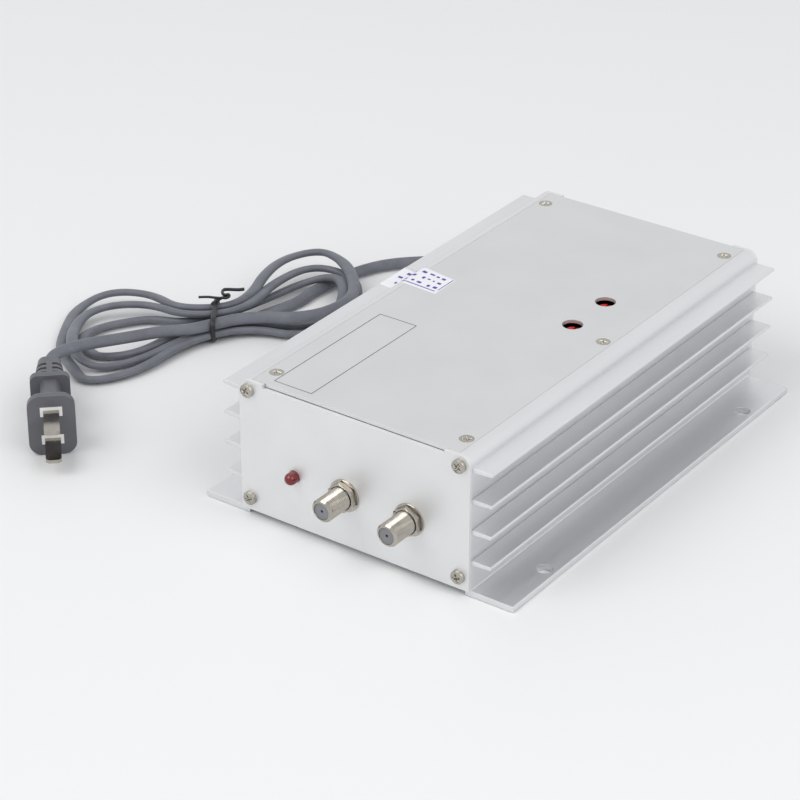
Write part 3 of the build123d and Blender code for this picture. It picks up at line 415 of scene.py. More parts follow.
def cord_jacket(colour):
    """Matt PVC jacket: fine drawn grain, dusty tone variation and a slight sheen."""
    finish = Finish("cord_rubber", colour, 0.52)
    grain = finish.noise(1900.0, 3.0, 0.65)
    dust = finish.noise(130.0, 4.0, 0.6)
    finish.tone(dust, 0.86, 1.16)
    finish.gloss(grain, 0.10)
    finish.bumps(grain, 0.00002)
    finish.set("Sheen Weight", 0.12)
    finish.set("Sheen Roughness", 0.5)
    return finish.material


def clear_red(name, colour, roughness):
    """Dyed clear plastic with a hard gloss, deeper where it is thick."""
    finish = Finish(name, colour, roughness)
    waves = finish.noise(260.0, 2.0)
    finish.tone(waves, 0.72, 1.25)
    finish.gloss(waves, 0.03)
    finish.set("Coat Weight", 0.2)
    finish.set("Coat Roughness", 0.05)
    finish.set("IOR", 1.55)
    return finish.material


def seal_paper():
    """Coated paper: fibre grain and a dull sheen."""
    finish = Finish("seal_paper", (0.86, 0.86, 0.90), 0.45)
    fibre = finish.noise((900.0, 2400.0, 900.0), 4.0, 0.7)
    finish.tone(fibre, 0.97, 1.03)
    finish.gloss(fibre, 0.07)
    finish.bumps(fibre, 0.00001)
    return finish.material


def printed_ink(name, colour):
    """Screen ink with slightly uneven cover."""
    finish = Finish(name, colour, 0.55)
    patches = finish.noise(1500.0, 3.0)
    finish.tone(patches, 0.7, 1.7)
    finish.gloss(patches, 0.08)
    return finish.material


def laminate():
    """Green board laminate with a woven glass texture under the lacquer."""
    finish = Finish("board_laminate", (0.016, 0.10, 0.035), 0.38)
    weave = finish.noise((700.0, 700.0, 90.0), 2.0)
    finish.tone(weave, 0.8, 1.2)
    finish.gloss(weave, 0.05)
    finish.bumps(weave, 0.00001)
    return finish.material


def wound_copper():
    """Enamelled copper wire, one turn beside another."""
    finish = Finish("winding_copper", (0.55, 0.18, 0.06), 0.3, 1.0)
    turns = finish.noise((80.0, 80.0, 1800.0), 1.0)
    finish.tone(turns, 0.6, 1.25)
    finish.bumps(turns, 0.0001)
    return finish.material


# Colour, roughness and any further values of the plain metals and plastics
PLATED = {
    "contact_brass": ((0.66, 0.46, 0.20), 0.28),
    "core_iron": ((0.22, 0.21, 0.20), 0.5),
    "module_aluminium": ((0.70, 0.70, 0.71), 0.4),
}
MOULDED = {
    "grey_plastic": ((0.21, 0.215, 0.23), 0.5),
    "blue_plastic": ((0.03, 0.09, 0.42), 0.35),
    "bobbin_plastic": ((0.55, 0.50, 0.40), 0.5),
    "green_plastic": ((0.03, 0.24, 0.09), 0.4),
    "fuse_glass": ((0.62, 0.66, 0.66), 0.1, 1400.0, 0.00001, 1.0),
    "black_plastic": ((0.02, 0.02, 0.022), 0.42),
    "ferrite": ((0.045, 0.043, 0.045), 0.6),
    "tie_plastic": ((0.012, 0.012, 0.014), 0.34, 2000.0),
    "pale_plastic": ((0.80, 0.80, 0.79), 0.4),
}
FINISHES = {}


def made(slot):
    """A new finish for a material slot."""
    if slot in PLATED:
        return plated(slot, *PLATED[slot])
    if slot in MOULDED:
        return moulded(slot, *MOULDED[slot])
    colours = bpy.context.scene.amplifier_finishes
    makers = {
        "anodised_body": lambda: anodised_body(colours.housing),
        "satin_sheet": lambda: satin_sheet(slot, colours.sheet),
        # The cover's darker copy of the sheet is painted shade on its upward face.
        "cover_sheet": lambda: satin_sheet(slot, colours.cover),
        "zinc_steel": lambda: plated(slot, colours.zinc, 0.24),
        # The nickel's darkness is painted reflection of a dark room round the camera.
        "nickel": lambda: plated(slot, colours.nickel, 0.17, 220.0),
        "red_lens": lambda: clear_red(slot, colours.lamp, 0.12),
        "red_plastic": lambda: moulded(slot, colours.trimmer, 0.32, coat=0.2),
        "board_laminate": laminate,
        "winding_copper": wound_copper,
        "cord_rubber": lambda: cord_jacket(colours.cord),
        "plug_moulding": lambda: moulded(slot, colours.plug, 0.42, 1100.0, 0.00002),
        "seal_paper": seal_paper,
        "print_ink": lambda: printed_ink(slot, colours.ink),
        "seal_ink": lambda: printed_ink(slot, colours.seal_ink),
    }
    return makers[slot]()


def finish_named(slot):
    """The finish of a material slot, made once."""
    if slot not in FINISHES:
        FINISHES[slot] = made(slot)
    return FINISHES[slot]


def slot_of(name):
    """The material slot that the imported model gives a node."""
    for part in frame["record"]["subparts"]:
        if part["node"] == name:
            return part["material_slot"]
    raise RuntimeError(f"the packed model has no node {name}")


class AMPLIFIER_OT_finishes(Operator):
    """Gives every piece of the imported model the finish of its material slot"""
    bl_idname = "amplifier.finishes"
    bl_label = "Finish the case and its insides"

    # The cover takes a darker copy of the end plates' sheet: painted shade on its upward face.
    own_finish = {"plug_body": "plug_moulding", "top_cover": "cover_sheet"}

    def execute(self, context):
        for name, node in frame["nodes"].items():
            finish = finish_named(self.own_finish.get(name, slot_of(name)))
            node.data.materials.clear()
            node.data.materials.append(finish)
        return {"FINISHED"}


# Mains cord, its tie and its plug

# The lead's points from the gland to the hank, in metres
gland_end = (-0.030, 0.1305, 0.0248)
lead_points = (
    (-0.030, 0.1435, 0.0248),
    (-0.036, 0.1565, 0.017),
    (-0.050, 0.164, 0.0072),
    (-0.069, 0.159, 0.0028),
    (-0.088, 0.142, 0.0027),
    (-0.106, 0.124, 0.0027),
    (-0.124, 0.1105, 0.0027),
    (-0.1355, 0.0975, 0.0027),
    (-0.1415, 0.079, 0.0027),
    (-0.1438, 0.060, 0.0027),
)
lead_end_run = 0.0125
# The points between the hank and the plug
plug_cord_points = (
    (-0.1736, -0.0314, 0.0090),
    (-0.1782, -0.0426, 0.0104),
    (-0.1819, -0.0534, 0.0120),
    (-0.1836, -0.0640, 0.0132),
)
cord_end_run = 0.0075
plug_face = np.array((-0.1436, -0.1148, 0.01335))
plug_turn = math.radians(-47.0)
plug_back = 0.050

# The hank, in millimetres and degrees: nine places round it, and for each turn how far along and
# across it, on which layer and with which heading the cord passes
hank_middle = np.array((-0.156, 0.004, 0.0))
hank_turn = math.radians(58.5)
hank_bend_radius = 145.0
layer_step = 4.65
cord_round = 4.2
waist_lift = 1.2
hank_stops = (
    ((0.0, 0.0, 0.0), (4.5, -0.2, -4.9), (0, 0, 0), (180.0, 190.0, 185.0)),
    ((-49.0, -52.5, -59.0), (-13.0, -23.0, -35.0), (0, 0, 0), (191.0, 200.0, 203.0)),
    ((-57.0, -63.5, -67.5), (-2.5, -10.5, -17.0), (0, 1, 0), (97.0, 76.0, 91.0)),
    ((-48.5, -52.0, -53.5), (13.0, 20.5, 27.0), (0, 0.3, 0), (38.0, 60.0, 64.0)),
    ((-30.5, -29.5, -27.0), (20.0, 27.5, 40.0), (0, 1, 1), (7.0, -12.0, -19.0)),
    ((0.0, 0.0, 0.0), (10.5, 5.5, 12.0), (0, 1, 1), (4.0, -12.0, -15.0)),
    ((44.0, 50.0, 57.0), (16.8, 20.7, 27.5), (0.3, 1.3, 2.1), (8.0, 6.0, -10.0)),
    ((64.0, 70.8, 70.0), (-3.5, -3.5, 3.0), (1.4, 0.93, 2), (-95.0, -95.0, -95.0)),
    ((48.0, 47.0, 50.0), (-16.5, -24.0, -24.5), (0, 0, 1.85), (180.0, 182.0, 180.0)),
)
hank_entry = (26.0, 5.0, 0, 182.0)
hank_last_waist = (0.0, -4.1, 1, 184.0)
hank_exit = (-16.0, -5.5, 1.3, 174.0)


def hank_place(along, across, height):
    """A point of the hank, which is bent along an arc: across grows by along squared over twice the
    bend radius."""
    bent = across + along * along / (2 * hank_bend_radius)
    x = along * math.cos(hank_turn) - bent * math.sin(hank_turn)
    y = along * math.sin(hank_turn) + bent * math.cos(hank_turn)
    return hank_middle + np.array((x, y, height)) * MM


def hank_heading(along, degrees):
    """The level direction that a heading in the bent hank has in the case's frame."""
    angle = math.radians(degrees)
    ahead = np.array((math.cos(angle), math.sin(angle) + math.cos(angle) * along / hank_bend_radius))
    x = ahead[0] * math.cos(hank_turn) - ahead[1] * math.sin(hank_turn)
    y = ahead[0] * math.sin(hank_turn) + ahead[1] * math.cos(hank_turn)
    return unit(np.array((x, y, 0.0)))


def hank_stations():
    """Every place that the cord passes in the hank, with the way it runs there, turn by turn."""
    turns = len(hank_stops[0][0])
    passes = [hank_entry]
    for turn in range(turns):
        passes += [tuple(values[turn] for values in stop) for stop in hank_stops]
    passes += [hank_last_waist, hank_exit]
    stations = []
    for along, across, layer, degrees in passes:
        height = cord_round / 2 + layer * layer_step + (waist_lift if along == 0 else 0.0)
        stations.append((hank_place(along, across, height), hank_heading(along, degrees)))
    return stations


def between(start, start_way, end, end_way):
    """The two control points between two places: each lies the same reach along its own way, and
    their distance is twice that reach, so that two arcs join the places smoothly."""
    chord = end - start
    square = 2 * (start_way.dot(end_way) - 1)
    linear = -2 * chord.dot(start_way + end_way)
    constant = chord.dot(chord)
    root = math.sqrt(linear * linear - 4 * square * constant)
    reach = max((-linear + root) / (2 * square), (-linear - root) / (2 * square))
    return start + start_way * reach, end - end_way * reach


def cord_controls():
    """The control points of the whole cord, from the gland to the plug, and for each how far its
    flat stands up: 1 on the lead and the last strand, 0 on the loops under them."""
    stations = hank_stations()
    first, first_way = stations[0]
    last, last_way = stations[-1]
    start = first - first_way * cord_round * MM
    end = last + last_way * cord_round * MM
    points = [gland_end, *lead_points, start - first_way * lead_end_run, start]
    stands = [1.0] * (len(points) - 1) + [0.4]
    standing_from = len(stations) - 4
    for index, (here, after) in enumerate(zip(stations, stations[1:])):
        points += between(*here, *after)
        stands += [1.0 if index >= standing_from else 0.0] * 2
    into_plug = np.array((math.cos(plug_turn), math.sin(plug_turn), 0.0))
    tail = plug_face - into_plug * plug_back
    ending = [end, end + last_way * cord_end_run, *plug_cord_points,
              tail - into_plug * cord_end_run, tail]
    return np.array(points + ending), np.array(stands + [1.0] * len(ending))


class AMPLIFIER_OT_mains_cord(Operator):
    """Makes the flat two-core cord from the gland through the hank to the plug, as one tube"""
    bl_idname = "amplifier.mains_cord"
    bl_label = "Mains cord"

    loop_lean = math.radians(29.0)
    broad_side = np.array((0.58305, -0.81243, 0.0))

    def execute(self, context):
        sizes = context.scene.amplifier_cord
        controls, stands = cord_controls()
        path = spline_points(controls, sizes.steps)
        share = (np.arange(len(controls)) - 0.5) / (len(controls) - 2)
        stand = np.interp(np.linspace(0.0, 1.0, len(path)), share, stands)
        side, up = level_sides(path)
        facing = side @ self.broad_side
        lean = (self.loop_lean - math.pi / 2 * stand) * facing
        cos, sin = np.cos(lean)[:, None], np.sin(lean)[:, None]
        broad = side * cos + up * sin
        narrow = up * cos - side * sin
        ring = oval(sizes.width, sizes.thickness, sizes.sides)
        tube = swept(path, ring, broad, narrow)
        mesh = woven("mains_cord", [tube], sharp=60.0)
        cord = show("mains_cord", mesh, finish_named("cord_rubber"),
                    replaces=("lead_cord", "cord_hank", "plug_cord"))
        return {"FINISHED"}


class AMPLIFIER_OT_wire_tie(Operator):
    """Makes the black coated wire round the waist of the hank, with its twisted and bent ends"""
    bl_idname = "amplifier.wire_tie"
    bl_label = "Wire tie"

    # In millimetres
    width = 2.2
    thickness = 1.2
    low, high = -7.9, 14.8
    bottom, top = 0.66, 11.1
    corner = 3.6
    # How far the band runs along the hank for each millimetre across it
    slant = 0.45
    # Points along and across the hank, and height above the band
    right_end = ((2.4, 8.8, 0.1), (4.0, 9.4, 0.5), (5.7, 9.9, 0.9), (7.4, 10.0, 1.3), (8.7, 8.2, 1.6),
                 (10.2, 8.2, 2.0), (10.3, 9.2, 2.6), (8.8, 8.8, 2.8), (7.8, 9.7, 2.8), (8.2, 12.1, 2.8),
                 (9.5, 14.0, 2.8), (11.0, 13.8, 2.8), (14.2, 11.8, 2.8), (16.8, 10.3, 2.8),
                 (18.1, 10.2, 2.9))
    right_wire = (1.5, 1.3)
    left_end = ((1.7, 8.2, 0.1), (3.0, 8.4, 0.5), (4.8, 9.3, 0.8), (6.2, 9.0, 1.2), (6.5, 9.1, 1.7),
                (5.0, 9.1, 2.1), (3.0, 9.8, 2.4), (0.6, 11.0, 2.7), (-3.0, 11.5, 2.9))
    left_wire = (1.2, 1.1)

    def band_path(self):
        """A rounded rectangle in the plane across the waist, a quarter circle at each corner."""
        angle = np.linspace(0.0, math.pi / 2, 9)
        across, height = [], []
        centres = ((self.high, self.top, 0), (self.low, self.top, 1), (self.low, self.bottom, 2),
                   (self.high, self.bottom, 3))
        for far, level, quarter in centres:
            inward = -1 if far == self.high else 1
            down = -1 if level == self.top else 1
            turn = angle + quarter * math.pi / 2
            across.append(far + inward * self.corner + self.corner * np.cos(turn))
            height.append(level + down * self.corner + self.corner * np.sin(turn))
        across, height = np.concatenate(across), np.concatenate(height)
        return np.stack([across, height], axis=-1)

    def execute(self, context):
        middle = hank_place(0.0, 0.0, 0.0)
        over = hank_place(self.slant, 1.0, 0.0) - middle
        upward = np.array((0.0, 0.0, MM))
        ahead = unit(np.cross(upward, over))
        line = self.band_path()
        line = np.concatenate([line, line[:1]])
        path = middle + line[:, :1] * over + line[:, 1:] * upward
        way = unit(np.roll(path[:-1], -1, axis=0) - np.roll(path[:-1], 1, axis=0))
        way = np.concatenate([way, way[:1]])
        outward = np.cross(way, ahead)
        ring = oval(self.width, self.thickness, 18, 2.2) * MM
        ring = np.concatenate([ring, ring[:1]])
        band = path[:, None, :] + ahead * ring[None, :, :1] + outward[:, None, :] * ring[None, :, 1:]
        grids = [band]
        for points, size in ((self.right_end, self.right_wire), (self.left_end, self.left_wire)):
            controls = np.array([hank_place(along, across, self.top + lift)
                                 for along, across, lift in points])
            route = spline_points(controls, 10)
            side, up = steady_sides(route, over)
            grids.append(swept(route, oval(*size, 14, 2.0) * MM, side, up))
        show("wire_tie", woven("wire_tie", grids, sharp=60.0), finish_named("tie_plastic"),
             replaces=("twist_tie",))
        return {"FINISHED"}


# Fasteners

def turned_about(grids, angle):
    """The same turned piece, tightened to another angle round Z."""
    cos, sin = math.cos(angle), math.sin(angle)
    turn = np.array(((cos, sin, 0.0), (-sin, cos, 0.0), (0.0, 0.0, 1.0)))
    return [grid @ turn for grid in grids]


# The cross recess, in shares of the head's radius
arm_half_width = 0.17
arm_softness = 0.02
arm_reach = 0.66
head_points = 37


def recessed_top(radius, crown, recess):
    """A screw's top over a disc: a shallow dome, crown * (1 - r squared), less a cross whose arms
    slope up from the middle. Returns the grid and its rim."""
    line = np.linspace(-1.0, 1.0, head_points)
    u, v = np.meshgrid(line, line, indexing="ij")
    x = u * np.sqrt(1 - v * v / 2)
    y = v * np.sqrt(1 - u * u / 2)
    reach = np.hypot(x, y)
    narrow = np.minimum(np.abs(x), np.abs(y))
    arm = 1 / (1 + np.exp((narrow - arm_half_width) / arm_softness))
    slope = np.clip(1 - (reach / arm_reach) ** 2.2, 0.0, 1.0) ** 0.5
    height = crown * (1 - reach ** 2) - recess * arm * slope
    top = np.stack([x * radius, y * radius, height], axis=-1)
    rim = np.concatenate([top[0, :], top[1:, -1], top[-1, -2::-1], top[-2::-1, 0]])
    return top, rim


def skirt(rim, profile):
    """Rows below a rim: each is the rim drawn in or out by a share and set at a height."""
    rows = [rim]
    for share, height in profile:
        row = rim * share
        row[:, 2] = height
        rows.append(row)
    return np.stack(rows)


def screw_grids(radius, crown, recess, under, shank_radius, length, edge):
    """A screw whose top is at zero height: crowned head, its side, and a plain shank."""
    top, rim = recessed_top(radius, crown, recess)
    shank = shank_radius / radius
    profile = [(1.0 + edge, -abs(edge) * radius * 1.5), (under[0], under[1]), (shank, under[1]),
               (shank, under[1] - length), (0.0, under[1] - length)]
    return [top, skirt(rim, profile)]


class AMPLIFIER_OT_screws(Operator):
    """Makes the pan head screws of the end plates and the countersunk screws of the cover"""
    bl_idname = "amplifier.screws"
    bl_label = "Screws"

    pan_places = [(x, z) for x in (-0.049, 0.049) for z in (0.0082, 0.0557)]
    cover_places = [(x, y) for x in (-0.044, 0.044) for y in (-0.094, 0.0, 0.094)]
    # Domes and thread lengths in metres
    pan_crown, flat_crown = 0.00065, 0.00004
    pan_thread, flat_thread = 0.008, 0.0045
    # The pan head's top, as a share of its width, and how far its side stands out past the top
    pan_top, pan_bulge = 0.97, 0.03
    flat_recess = 0.9

    def execute(self, context):
        sizes = context.scene.amplifier_fasteners
        side_height = sizes.pan_height - self.pan_crown
        pan = screw_grids(sizes.pan_head / 2 * self.pan_top, self.pan_crown, sizes.recess,
                          (1.0 + self.pan_bulge, -side_height), sizes.shank / 2, self.pan_thread,
                          self.pan_bulge)
        grids = []
        for face, way in ((front_face, -1.0), (rear_face, 1.0)):
            for index, (x, z) in enumerate(self.pan_places):
                origin = (x, face + way * side_height, z)
                turn = turned_about(pan, 0.5 + 0.7 * index + (way > 0))
                grids += [placed(grid, origin, (0.0, way, 0.0)) for grid in turn]
        show("pan_screws", woven("pan_screws", grids, sharp=50.0), finish_named("zinc_steel"),
             replaces=("front_plate_screws", "rear_plate_screws"))
        head = sizes.flat_head / 2
        flat = screw_grids(head, self.flat_crown, sizes.recess * self.flat_recess,
                           (sizes.shank / sizes.flat_head, -sizes.flat_depth), sizes.shank / 2,
                           self.flat_thread, 0.0)
        grids = []
        for index, (x, y) in enumerate(self.cover_places):
            turn = turned_about(flat, 0.3 + 1.1 * index)
            grids += [grid + np.array((x, y, cover_top - self.flat_crown)) for grid in turn]
        show("cover_screws", woven("cover_screws", grids, sharp=50.0), finish_named("zinc_steel"),
             replaces=("top_cover_screws",))
        return {"FINISHED"}


# Connectors

round_sides = 72
rows_per_pitch = 8


def thread_grid(radius, depth, pitch, start, end):
    """A right-handed thread: radius - depth * how far the point lies down the groove, which is a
    clipped triangle wave of height over pitch less angle over a full turn. It fades at both ends."""
    steps = int(round((end - start) / pitch * rows_per_pitch)) + 1
    height = np.linspace(start, end, steps)[:, None]
    angle = np.linspace(0.0, 2 * math.pi, round_sides + 1)[None, :]
    phase = (height / pitch - angle / (2 * math.pi)) % 1.0
    groove = np.clip(2.6 * (0.5 - np.abs(phase - 0.5)) - 0.2, 0.0, 1.0)
    run_out = 0.5 * pitch
    fade = np.clip((height - start) / run_out, 0, 1) * np.clip((end - height) / run_out, 0, 1)
    thread = radius - depth * groove * fade
    return np.stack([thread * np.cos(angle), thread * np.sin(angle),
                     np.broadcast_to(height, thread.shape)], axis=-1)


class AMPLIFIER_OT_connectors(Operator):
    """Makes the four threaded coaxial connectors, their hexagon nuts and their washers"""
    bl_idname = "amplifier.connectors"
    bl_label = "Coaxial connectors"

    nodes = ("front_test_connector", "output_connector", "rear_test_connector", "input_connector")
    # Lengths in metres. Heights are counted from the plate's inner face.
    plate = 0.0015
    tail_radius, tail_end = 0.004, -0.0085
    flange_radius, flange_back = 0.0063, -0.0025
    neck_radius, neck_end = 0.0047, 0.0044
    thread_start, thread_short = 0.0045, 0.0009
    clearance = 0.00005
    nut_chamfer, nut_hole_edge = 0.0005, 0.0003
    cone_start, cone_slope = 0.985, 1.7
    nut_sides = 120
    washer_radius = 0.00675

    def barrel(self, sizes):
        """The connector from its shoulder inside the plate to its rim, along Z from the plate's
        inner face."""
        tip = self.plate + sizes.reach
        thread_end = tip - self.thread_short
        radius, rim, bore = sizes.barrel / 2, sizes.tip / 2, sizes.bore / 2
        thread = thread_grid(radius, sizes.depth, sizes.pitch, self.thread_start, thread_end)
        mouth = [(radius, thread_end), (rim + 0.0004, tip - 0.0003), (rim + 0.0001, tip - 0.00005),
                 (rim - 0.0001, tip), (bore + 0.0001, tip), (bore, tip - 0.0002)]
        tail = [(bore, self.tail_end), (self.tail_radius, self.tail_end),
                (self.tail_radius, self.flange_back), (self.flange_radius, self.flange_back),
                (self.flange_radius, 0.0), (self.neck_radius, 0.0), (self.neck_radius, self.neck_end),
                (radius, self.thread_start)]
        return [thread, turned(mouth + tail, round_sides)]

    def nut(self, sizes):
        """A chamfered hexagon nut: at each height the smaller of the hexagon, apothem over the
        cosine of the angle from the flat's middle, and a 30 degree cone at each end."""
        angle = np.linspace(0.0, 2 * math.pi, self.nut_sides + 1)
        apothem = sizes.nut_flats / 2
        from_flat = (angle + math.pi / 6) % (math.pi / 3) - math.pi / 6
        hexagon = apothem / np.cos(from_flat)
        top, chamfer = sizes.nut_height, self.nut_chamfer
        levels = np.concatenate([np.linspace(0.0, chamfer, 5),
                                 np.linspace(chamfer, top - chamfer, 3)[1:-1],
                                 np.linspace(top - chamfer, top, 5)])
        end = np.minimum(levels, top - levels)
        cone = apothem * self.cone_start + end * self.cone_slope
        radius = np.minimum(hexagon[None, :], cone[:, None])
        outside = np.stack([radius * np.cos(angle), radius * np.sin(angle),
                            np.broadcast_to(levels[:, None], radius.shape)], axis=-1)
        inner, edge = sizes.barrel / 2 + self.clearance, self.nut_hole_edge
        hole = turned([(inner + edge, top), (inner, top - edge), (inner, edge), (inner + edge, 0.0)],
                      self.nut_sides)
        return [np.concatenate([hole[-1:], outside, hole])]

    def washer(self, sizes):
        """A flat washer with softly broken edges."""
        outer, inner, top = self.washer_radius, sizes.barrel / 2 + self.clearance, sizes.washer
        ring = [(outer - 0.0001, 0.0), (outer, 0.0001), (outer, top - 0.00015), (outer - 0.00015, top),
                (inner + 0.00005, top), (inner, top - 0.00005), (inner, 0.0), (outer - 0.0001, 0.0)]
        return [turned(ring, round_sides)]

    def execute(self, context):
        sizes = context.scene.amplifier_connectors
        barrels, nuts, washers = [], [], []
        for index, node in enumerate(self.nodes):
            middle = centre_of(node)
            way = -1.0 if middle.y < 0 else 1.0
            inner = (middle.x, way * (abs(front_face) - self.plate), middle.z)
            outer = (middle.x, front_face if way < 0 else rear_face, middle.z)
            above = (middle.x, outer[1] + way * sizes.washer, middle.z)
            axis = (0.0, way, 0.0)
            barrels += [placed(grid, inner, axis) for grid in self.barrel(sizes)]
            washers += [placed(grid, outer, axis) for grid in self.washer(sizes)]
            turn = turned_about(self.nut(sizes), 0.2 + 0.9 * index)
            nuts += [placed(grid, above, axis) for grid in turn]
        show("coax_barrels", woven("coax_barrels", barrels, sharp=40.0), finish_named("nickel"),
             replaces=self.nodes)
        show("hex_nuts", woven("hex_nuts", nuts, sharp=28.0), finish_named("nickel"),
             replaces=("connector_nuts",))
        show("flat_washers", woven("flat_washers", washers, sharp=40.0), finish_named("nickel"),
             replaces=("connector_washers",))
        return {"FINISHED"}


# Seal and print

class AMPLIFIER_OT_paper_seal(Operator):
    """Lays the paper seal from the cover over the case's rounded corner onto the first fin"""
    bl_idname = "amplifier.paper_seal"
    bl_label = "Paper seal"

    # In millimetres
    corner = 4.6
    reach = 62.2
    lift = 0.03
    mark_lift = 0.1
    # Where the cover edge lies across the case, then the front and rear ends of that edge and of
    # the fin edge
    cover_edge = (-33.0, -4.4, 10.7)
    fin_edge = (-2.8, 16.3)
    # In metres
    paper_thickness, ink_thickness = 0.00008, 0.00002

    def surface(self, across, along):
        """Across runs from the cover edge to the fin edge and along from front to rear, both from 0
        to 1: straight over the cover, a quarter circle over the corner, straight over the fin."""
        turn_x = -case_half / MM + self.corner
        flat = turn_x - self.cover_edge[0]
        arc = self.corner * math.pi / 2
        fin = self.reach - case_half / MM
        total = -flat + arc + fin
        walked = across * total
        angle = np.clip((walked + flat) / self.corner, 0.0, math.pi / 2)
        beyond = np.clip(walked + flat - arc, 0.0, None)
        x = self.cover_edge[0] - np.minimum(walked, -flat) - self.corner * np.sin(angle) - beyond
        z = cover_top / MM + self.lift - self.corner * (1 - np.cos(angle))
        front = self.cover_edge[1] + (self.fin_edge[0] - self.cover_edge[1]) * across
        rear = self.cover_edge[2] + (self.fin_edge[1] - self.cover_edge[2]) * across
        y = front + (rear - front) * along
        return np.stack([x, y, z], axis=-1) * MM

    def patch(self, low, high, rows, columns, lift=0.0):
        """A rectangle of the seal's surface between two corners given as shares of it."""
        across, along = np.meshgrid(np.linspace(low[0], high[0], rows),
                                    np.linspace(low[1], high[1], columns), indexing="ij")
        grid = self.surface(across, along)
        edge = np.gradient(grid, axis=0)
        side = np.gradient(grid, axis=1)
        return grid + unit(np.cross(side, edge)) * lift * MM

    def thin(self, piece, thickness):
        solid = piece.modifiers.new("thickness", "SOLIDIFY")
        solid.thickness = thickness
        solid.offset = 1.0

    def execute(self, context):
        paper = self.patch((0.0, 0.0), (1.0, 1.0), 61, 13)
        sheet = show("paper_seal", woven("paper_seal", [paper], closed=False, sharp=80.0),
                     finish_named("seal_paper"))
        self.thin(sheet, self.paper_thickness)
        random = np.random.default_rng(7)
        marks = []
        for row, along in enumerate((0.26, 0.52, 0.78)):
            place = 0.07 + 0.02 * row
            while place < 0.88:
                length = random.uniform(0.025, 0.075)
                height = random.uniform(0.05, 0.11)
                shift = random.uniform(-0.02, 0.02)
                marks.append(self.patch((place, along + shift - height / 2),
                                        (place + length, along + shift + height / 2), 4, 3,
                                        self.mark_lift))
                place += length + random.uniform(0.03, 0.12)
        marks.append(self.patch((0.04, 0.085), (0.62, 0.115), 24, 3, self.mark_lift))
        marks.append(self.patch((0.02, 0.20), (0.03, 0.93), 3, 10, self.mark_lift))
        ink = show("seal_marks", woven("seal_marks", marks, closed=False, sharp=80.0),
                   finish_named("seal_ink"))
        self.thin(ink, self.ink_thickness)
        return {"FINISHED"}


class AMPLIFIER_OT_cover_print(Operator):
    """Prints a plain frame on the cover"""
    bl_idname = "amplifier.cover_print"
    bl_label = "Cover print"

    # In millimetres: the frame's limits along X and Y, its line, and the ink over the cover
    frame = (-40.4, -22.8, -100.0, -31.7)
    line = 0.30
    lift = 0.01
    height = 0.02

    def strip(self, start, end):
        """A thin flat bar of ink from one point to another."""
        start, end = np.array(start), np.array(end)
        path = np.linspace(np.append(start, 0.0), np.append(end, 0.0), 3)
        path[:, 2] = cover_top / MM + self.lift + self.height / 2
        half, deep = self.line / 2, self.height / 2
        ring = np.array(((half, deep), (-half, deep), (-half, -deep), (half, -deep))) * MM
        side, up = level_sides(path * MM)
        return swept(path * MM, ring, side, up)

    def frame_strips(self, x0, x1, y0, y1):
        corners = ((x0, y0), (x1, y0), (x1, y1), (x0, y1))
        return [self.strip(a, b) for a, b in zip(corners, corners[1:] + corners[:1])]

    def execute(self, context):
        show("cover_print", woven("cover_print", self.frame_strips(*self.frame)),
             finish_named("print_ink"))
        return {"FINISHED"}


# Stage

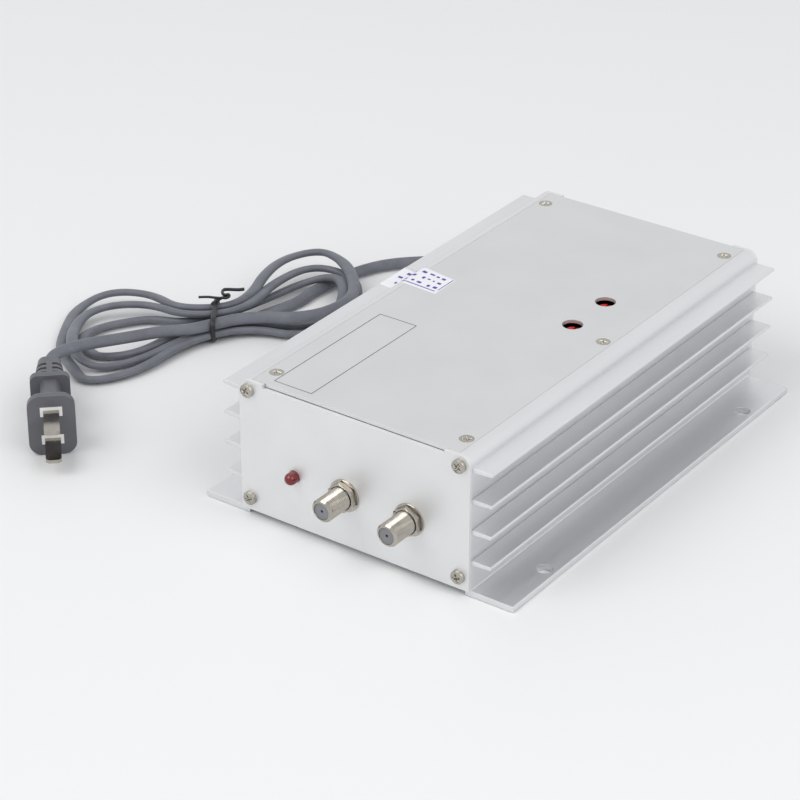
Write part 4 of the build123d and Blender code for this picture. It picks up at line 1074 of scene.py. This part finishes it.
class AMPLIFIER_OT_stage(Operator):
    """Sets the pale table, the even light, the soft lamps and the camera"""
    bl_idname = "amplifier.stage"
    bl_label = "Stage"

    camera_place = (0.5471, -0.8369, 0.5710)
    camera_aim = (-0.02454, -0.04037, 0.030)
    focal_length = 126.9
    table_half = 3.0
    table_level = -0.0002
    lamp_target = (0.0, 0.0, 0.03)
    # Each lamp's place, width and share of the power
    lamps = (
        ("front_lamp", (-0.75, -1.5, 1.9), 1.6, 0.63),
        ("side_lamp", (1.5, -0.3, 1.3), 1.6, 0.37),
    )

    def execute(self, context):
        settings = context.scene.amplifier_stage
        self.table(settings)
        self.sky(context.scene, settings)
        self.lamp(context.scene, settings)
        self.camera(context.scene)
        context.scene.view_settings.view_transform = "Standard"
        return {"FINISHED"}

    def table(self, settings):
        line = np.linspace(-self.table_half, self.table_half, 13)
        x, y = np.meshgrid(line, line, indexing="ij")
        grid = np.stack([x, y, np.full_like(x, self.table_level)], axis=-1)
        mesh = woven("table_top", [grid], closed=False)
        table = bpy.data.objects.new("table_top", mesh)
        bpy.context.scene.collection.objects.link(table)
        finish = Finish("table_top", settings.floor, 0.6)
        finish.tone(finish.noise(3.0, 2.0), 0.995, 1.005)
        mesh.materials.append(finish.material)

    def sky(self, scene, settings):
        """An even light, and a paler backdrop where it is seen directly or in a reflection."""
        world = bpy.data.worlds.new("studio")
        scene.world = world
        world.use_nodes = True
        nodes, links = world.node_tree.nodes, world.node_tree.links
        light = nodes["Background"]
        light.inputs["Color"].default_value = (0.97, 0.985, 1.0, 1.0)
        light.inputs["Strength"].default_value = settings.sky
        seen = nodes.new("ShaderNodeBackground")
        seen.inputs["Color"].default_value = (0.98, 0.99, 1.0, 1.0)
        seen.inputs["Strength"].default_value = settings.seen
        path = nodes.new("ShaderNodeLightPath")
        either = path.outputs["Is Camera Ray"]
        for ray in ("Is Glossy Ray", "Is Transmission Ray"):
            larger = nodes.new("ShaderNodeMath")
            larger.operation = "MAXIMUM"
            links.new(either, larger.inputs[0])
            links.new(path.outputs[ray], larger.inputs[1])
            either = larger.outputs["Value"]
        mix = nodes.new("ShaderNodeMixShader")
        links.new(either, mix.inputs["Fac"])
        links.new(light.outputs["Background"], mix.inputs[1])
        links.new(seen.outputs["Background"], mix.inputs[2])
        links.new(mix.outputs["Shader"], nodes["World Output"].inputs["Surface"])

    def lamp(self, scene, settings):
        """A large soft lamp in front and one at the case's right side."""
        for name, place, width, share in self.lamps:
            data = bpy.data.lights.new(name, "AREA")
            data.shape = "SQUARE"
            data.size = width
            data.energy = settings.lamp * share
            data.color = (1.0, 0.985, 0.965)
            lamp = bpy.data.objects.new(name, data)
            scene.collection.objects.link(lamp)
            self.aim(lamp, place, self.lamp_target)

    def camera(self, scene):
        data = bpy.data.cameras.new("camera")
        data.lens = self.focal_length
        data.sensor_width = 36.0
        camera = bpy.data.objects.new("camera", data)
        scene.collection.objects.link(camera)
        self.aim(camera, self.camera_place, self.camera_aim)
        scene.camera = camera

    def aim(self, obj, place, target):
        obj.location = place
        way = Vector(target) - Vector(place)
        obj.rotation_euler = way.to_track_quat("-Z", "Y").to_euler()


class AMPLIFIER_PT_dressing(Panel):
    """The steps that dress the amplifier, and the sizes and colours they use"""
    bl_idname = "AMPLIFIER_PT_dressing"
    bl_label = "Amplifier"
    bl_space_type = "VIEW_3D"
    bl_region_type = "UI"
    bl_category = "Amplifier"

    def draw(self, context):
        for step in STEPS:
            self.layout.operator(step.bl_idname)
        for name, group in SETTINGS:
            settings = getattr(context.scene, name)
            for size in group.__annotations__:
                self.layout.prop(settings, size)


SETTINGS = (
    ("amplifier_finishes", FinishColours),
    ("amplifier_cord", CordSizes),
    ("amplifier_fasteners", FastenerSizes),
    ("amplifier_connectors", ConnectorSizes),
    ("amplifier_stage", StageSettings),
)
STEPS = (
    AMPLIFIER_OT_finishes,
    AMPLIFIER_OT_wire_tie,
    AMPLIFIER_OT_mains_cord,
    AMPLIFIER_OT_screws,
    AMPLIFIER_OT_connectors,
    AMPLIFIER_OT_paper_seal,
    AMPLIFIER_OT_cover_print,
    AMPLIFIER_OT_stage,
)


def register():
    for name, group in SETTINGS:
        bpy.utils.register_class(group)
        setattr(bpy.types.Scene, name, PointerProperty(type=group))
    for step in (*STEPS, AMPLIFIER_PT_dressing):
        bpy.utils.register_class(step)


def unregister():
    for step in (AMPLIFIER_PT_dressing, *reversed(STEPS)):
        bpy.utils.unregister_class(step)
    for name, group in reversed(SETTINGS):
        delattr(bpy.types.Scene, name)
        bpy.utils.unregister_class(group)


def main():
    """Dresses the amplifier step by step."""
    register()
    for step in STEPS:
        group, action = step.bl_idname.split(".")
        getattr(getattr(bpy.ops, group), action)()


if __name__ == "__main__":
    main()
